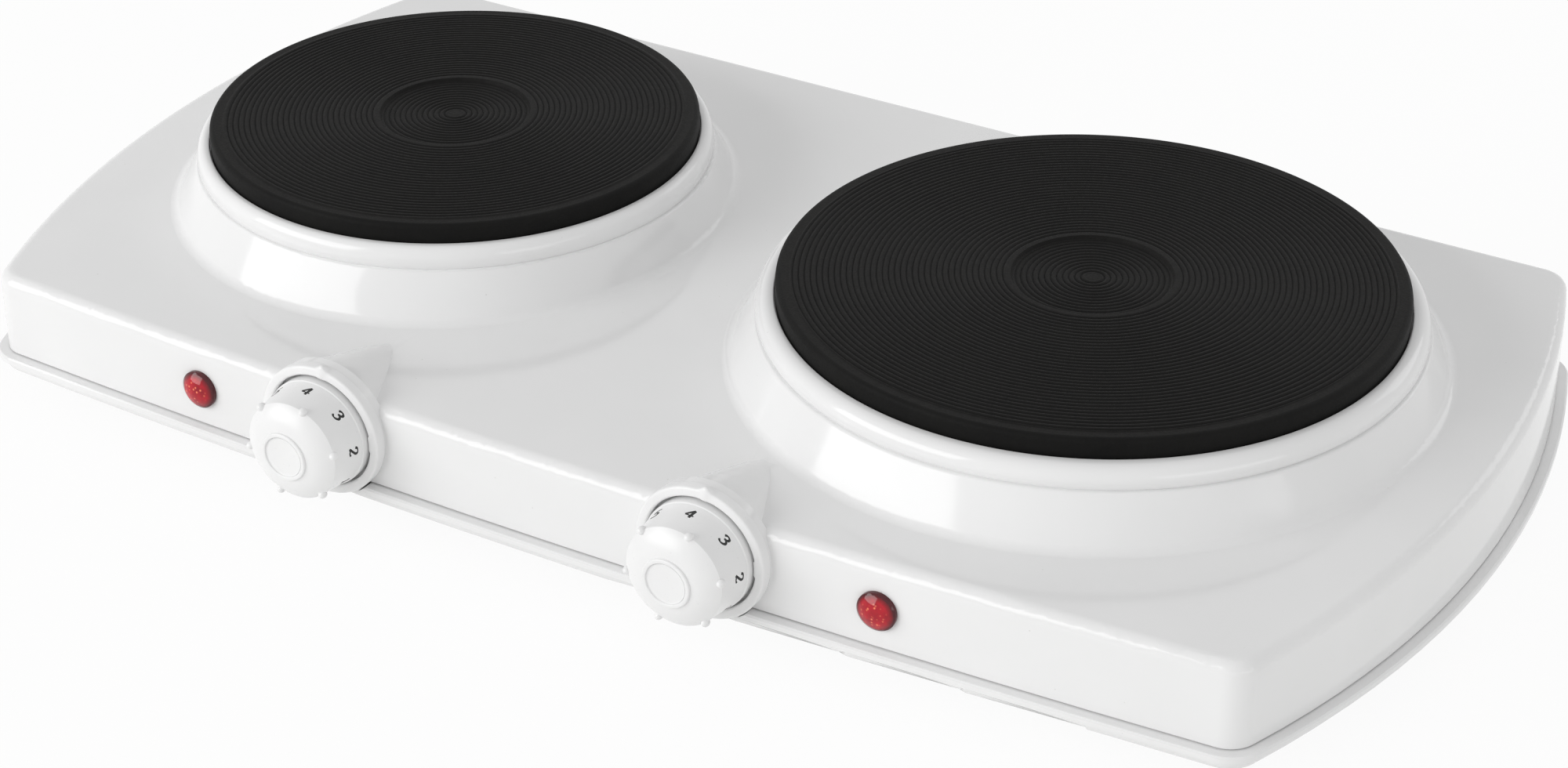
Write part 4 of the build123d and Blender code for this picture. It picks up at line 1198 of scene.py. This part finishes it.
@dataclass(frozen=True)
class Studio:
    """Pale floor, soft boxes, ambient light and the camera.

    Lengths are in metres here. The camera stands at eye, and right, down and ahead are its axes.
    """

    ambient: float = 0.57
    floor_size: float = 12.0
    floor_rows: int = 3
    floor_tone: str = "#fbfbfa"
    floor_glow: float = 0.93
    focal_pixels: float = 4565.25
    frame_width: float = 2000.0
    sensor: float = 36.0
    eye: Triple = (0.492560, -0.815029, 0.571626)
    right: Triple = (0.861242, 0.508190, -0.002506)
    down: Triple = (0.256204, -0.438443, -0.861468)
    ahead: Triple = (-0.438888, 0.741290, -0.507806)
    boxes: tuple[SoftBox, ...] = (
        SoftBox("key_box", place=(-1.4, -1.9, 0.95), aim=(0.0, 0.0, 0.03), size=(2.2, 1.3), watts=31.0),
        SoftBox("side_box", place=(1.85, -0.7, 0.3), aim=(0.0, 0.0, 0.03), size=(1.4, 0.6), watts=4.0),
        SoftBox("back_box", place=(0.9, 1.9, 1.1), aim=(0.0, 0.0, 0.05), size=(1.0, 0.8), watts=3.0),
    )

    def seen(self, tree: bpy.types.NodeTree) -> bpy.types.NodeSocket:
        """One for rays from the camera, from gloss and through glass, and nought for light on the object.

        Args:
            tree: Node tree that gets the nodes.

        Returns:
            Output socket with the number.
        """
        path = add_node(tree, "LightPath").outputs
        straight = {0: path["Is Camera Ray"], 1: path["Is Glossy Ray"]}
        eye_or_gloss = add_node(tree, "Math", straight, operation="MAXIMUM")
        either = {0: eye_or_gloss.outputs[0], 1: path["Is Transmission Ray"]}
        return add_node(tree, "Math", either, operation="MAXIMUM").outputs[0]

    def world(self) -> None:
        """Ambient light, with a white background where it is seen."""
        world = bpy.data.worlds.new("pale_room")
        world.use_nodes = True
        tree = world.node_tree
        tree.nodes.clear()
        soft = add_node(tree, "Background", {"Color": linear("#ffffff"), "Strength": self.ambient})
        white = add_node(tree, "Background", {"Color": linear("#ffffff"), "Strength": 1.0})
        mix = add_node(tree, "MixShader", {0: self.seen(tree), 1: soft.outputs[0], 2: white.outputs[0]})
        add_node(tree, "OutputWorld", {"Surface": mix.outputs[0]})
        bpy.context.scene.world = world

    def floor(self) -> None:
        """Flat pale floor at z = 0 that keeps the shadow: points are (u, v, 0) times half its size."""
        row = np.linspace(-1, 1, self.floor_rows)
        u, v = np.meshgrid(row, row)
        points = np.stack([u, v, np.zeros_like(u)], -1).reshape(-1, 3) * self.floor_size / 2
        index = np.arange(u.size).reshape(u.shape)
        quads = np.stack([index[:-1, :-1], index[:-1, 1:], index[1:, 1:], index[1:, :-1]], -1).reshape(-1, 4)
        mesh = bpy.data.meshes.new("studio_floor")
        mesh.from_pydata(points.tolist(), [], quads.tolist())
        ground = bpy.data.objects.new("studio_floor", mesh)
        bpy.context.scene.collection.objects.link(ground)
        # Matt painted board: white, with a glow where it is seen so that it stays white beside the object.
        paint = bpy.data.materials.new("matt_white_board")
        paint.use_nodes = True
        tree = paint.node_tree
        tree.nodes.clear()
        matt = add_node(tree, "BsdfDiffuse", {"Color": linear(self.floor_tone)})
        glow = add_node(tree, "Emission", {"Color": linear("#ffffff"), "Strength": 1.0})
        share = add_node(tree, "Math", {0: self.seen(tree), 1: self.floor_glow}, operation="MULTIPLY")
        mix = add_node(tree, "MixShader", {0: share.outputs[0], 1: matt.outputs[0], 2: glow.outputs[0]})
        add_node(tree, "OutputMaterial", {"Surface": mix.outputs[0]})
        mesh.materials.append(paint)

    def camera(self) -> None:
        """Camera at the photograph's place, with its focal length worked out from pixels."""
        lens = bpy.data.cameras.new("photo_camera")
        lens.sensor_fit = "HORIZONTAL"
        lens.sensor_width = self.sensor
        lens.lens = self.focal_pixels * self.sensor / self.frame_width
        eye = bpy.data.objects.new("photo_camera", lens)
        axes = np.stack([self.right, -np.array(self.down), -np.array(self.ahead)], 1)
        eye.matrix_world = Matrix.Translation(self.eye) @ Matrix(axes.tolist()).to_4x4()
        bpy.context.scene.collection.objects.link(eye)
        bpy.context.scene.camera = eye

    def build(self) -> None:
        """Sets up the whole studio."""
        bpy.context.scene.view_settings.view_transform = "Standard"
        self.world()
        self.floor()
        self.camera()
        for box in self.boxes:
            box.build()


def dress_nodes(wardrobe: Wardrobe) -> None:
    """Puts the finish of its material slot on each CAD node.

    Args:
        wardrobe: Wardrobe that hands out the materials.
    """
    for subpart in frame["record"]["subparts"]:
        wardrobe.dress(frame["nodes"][subpart["node"]], SLOT_FINISHES[subpart["material_slot"]])


def main() -> None:
    """Builds the sub-assemblies in order, then the studio."""
    logging.basicConfig(level=logging.INFO, format="%(name)s %(message)s")
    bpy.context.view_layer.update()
    wardrobe = Wardrobe()
    dress_nodes(wardrobe)
    workshop = Workshop(wardrobe)
    for node in ("housing", "base_tray"):
        Pressing(node).build(workshop)
    Burner("small", x=-118.0, y=12.0, plate_radius=77.5, ring_radius=82.0, segments=224).build(workshop)
    Burner("large", x=104.5, y=17.0, plate_radius=92.5, ring_radius=98.5, segments=240).build(workshop)
    Dial(Side.LEFT, Body.LEFT_CONTROL, x=-78.5).build(workshop)
    Dial(Side.RIGHT, Body.RIGHT_CONTROL, x=51.5).build(workshop)
    PilotLamp(Side.LEFT, x=-127.5).build(workshop)
    PilotLamp(Side.RIGHT, x=105.0).build(workshop)
    Studio().build()


if __name__ == "__main__":
    main()
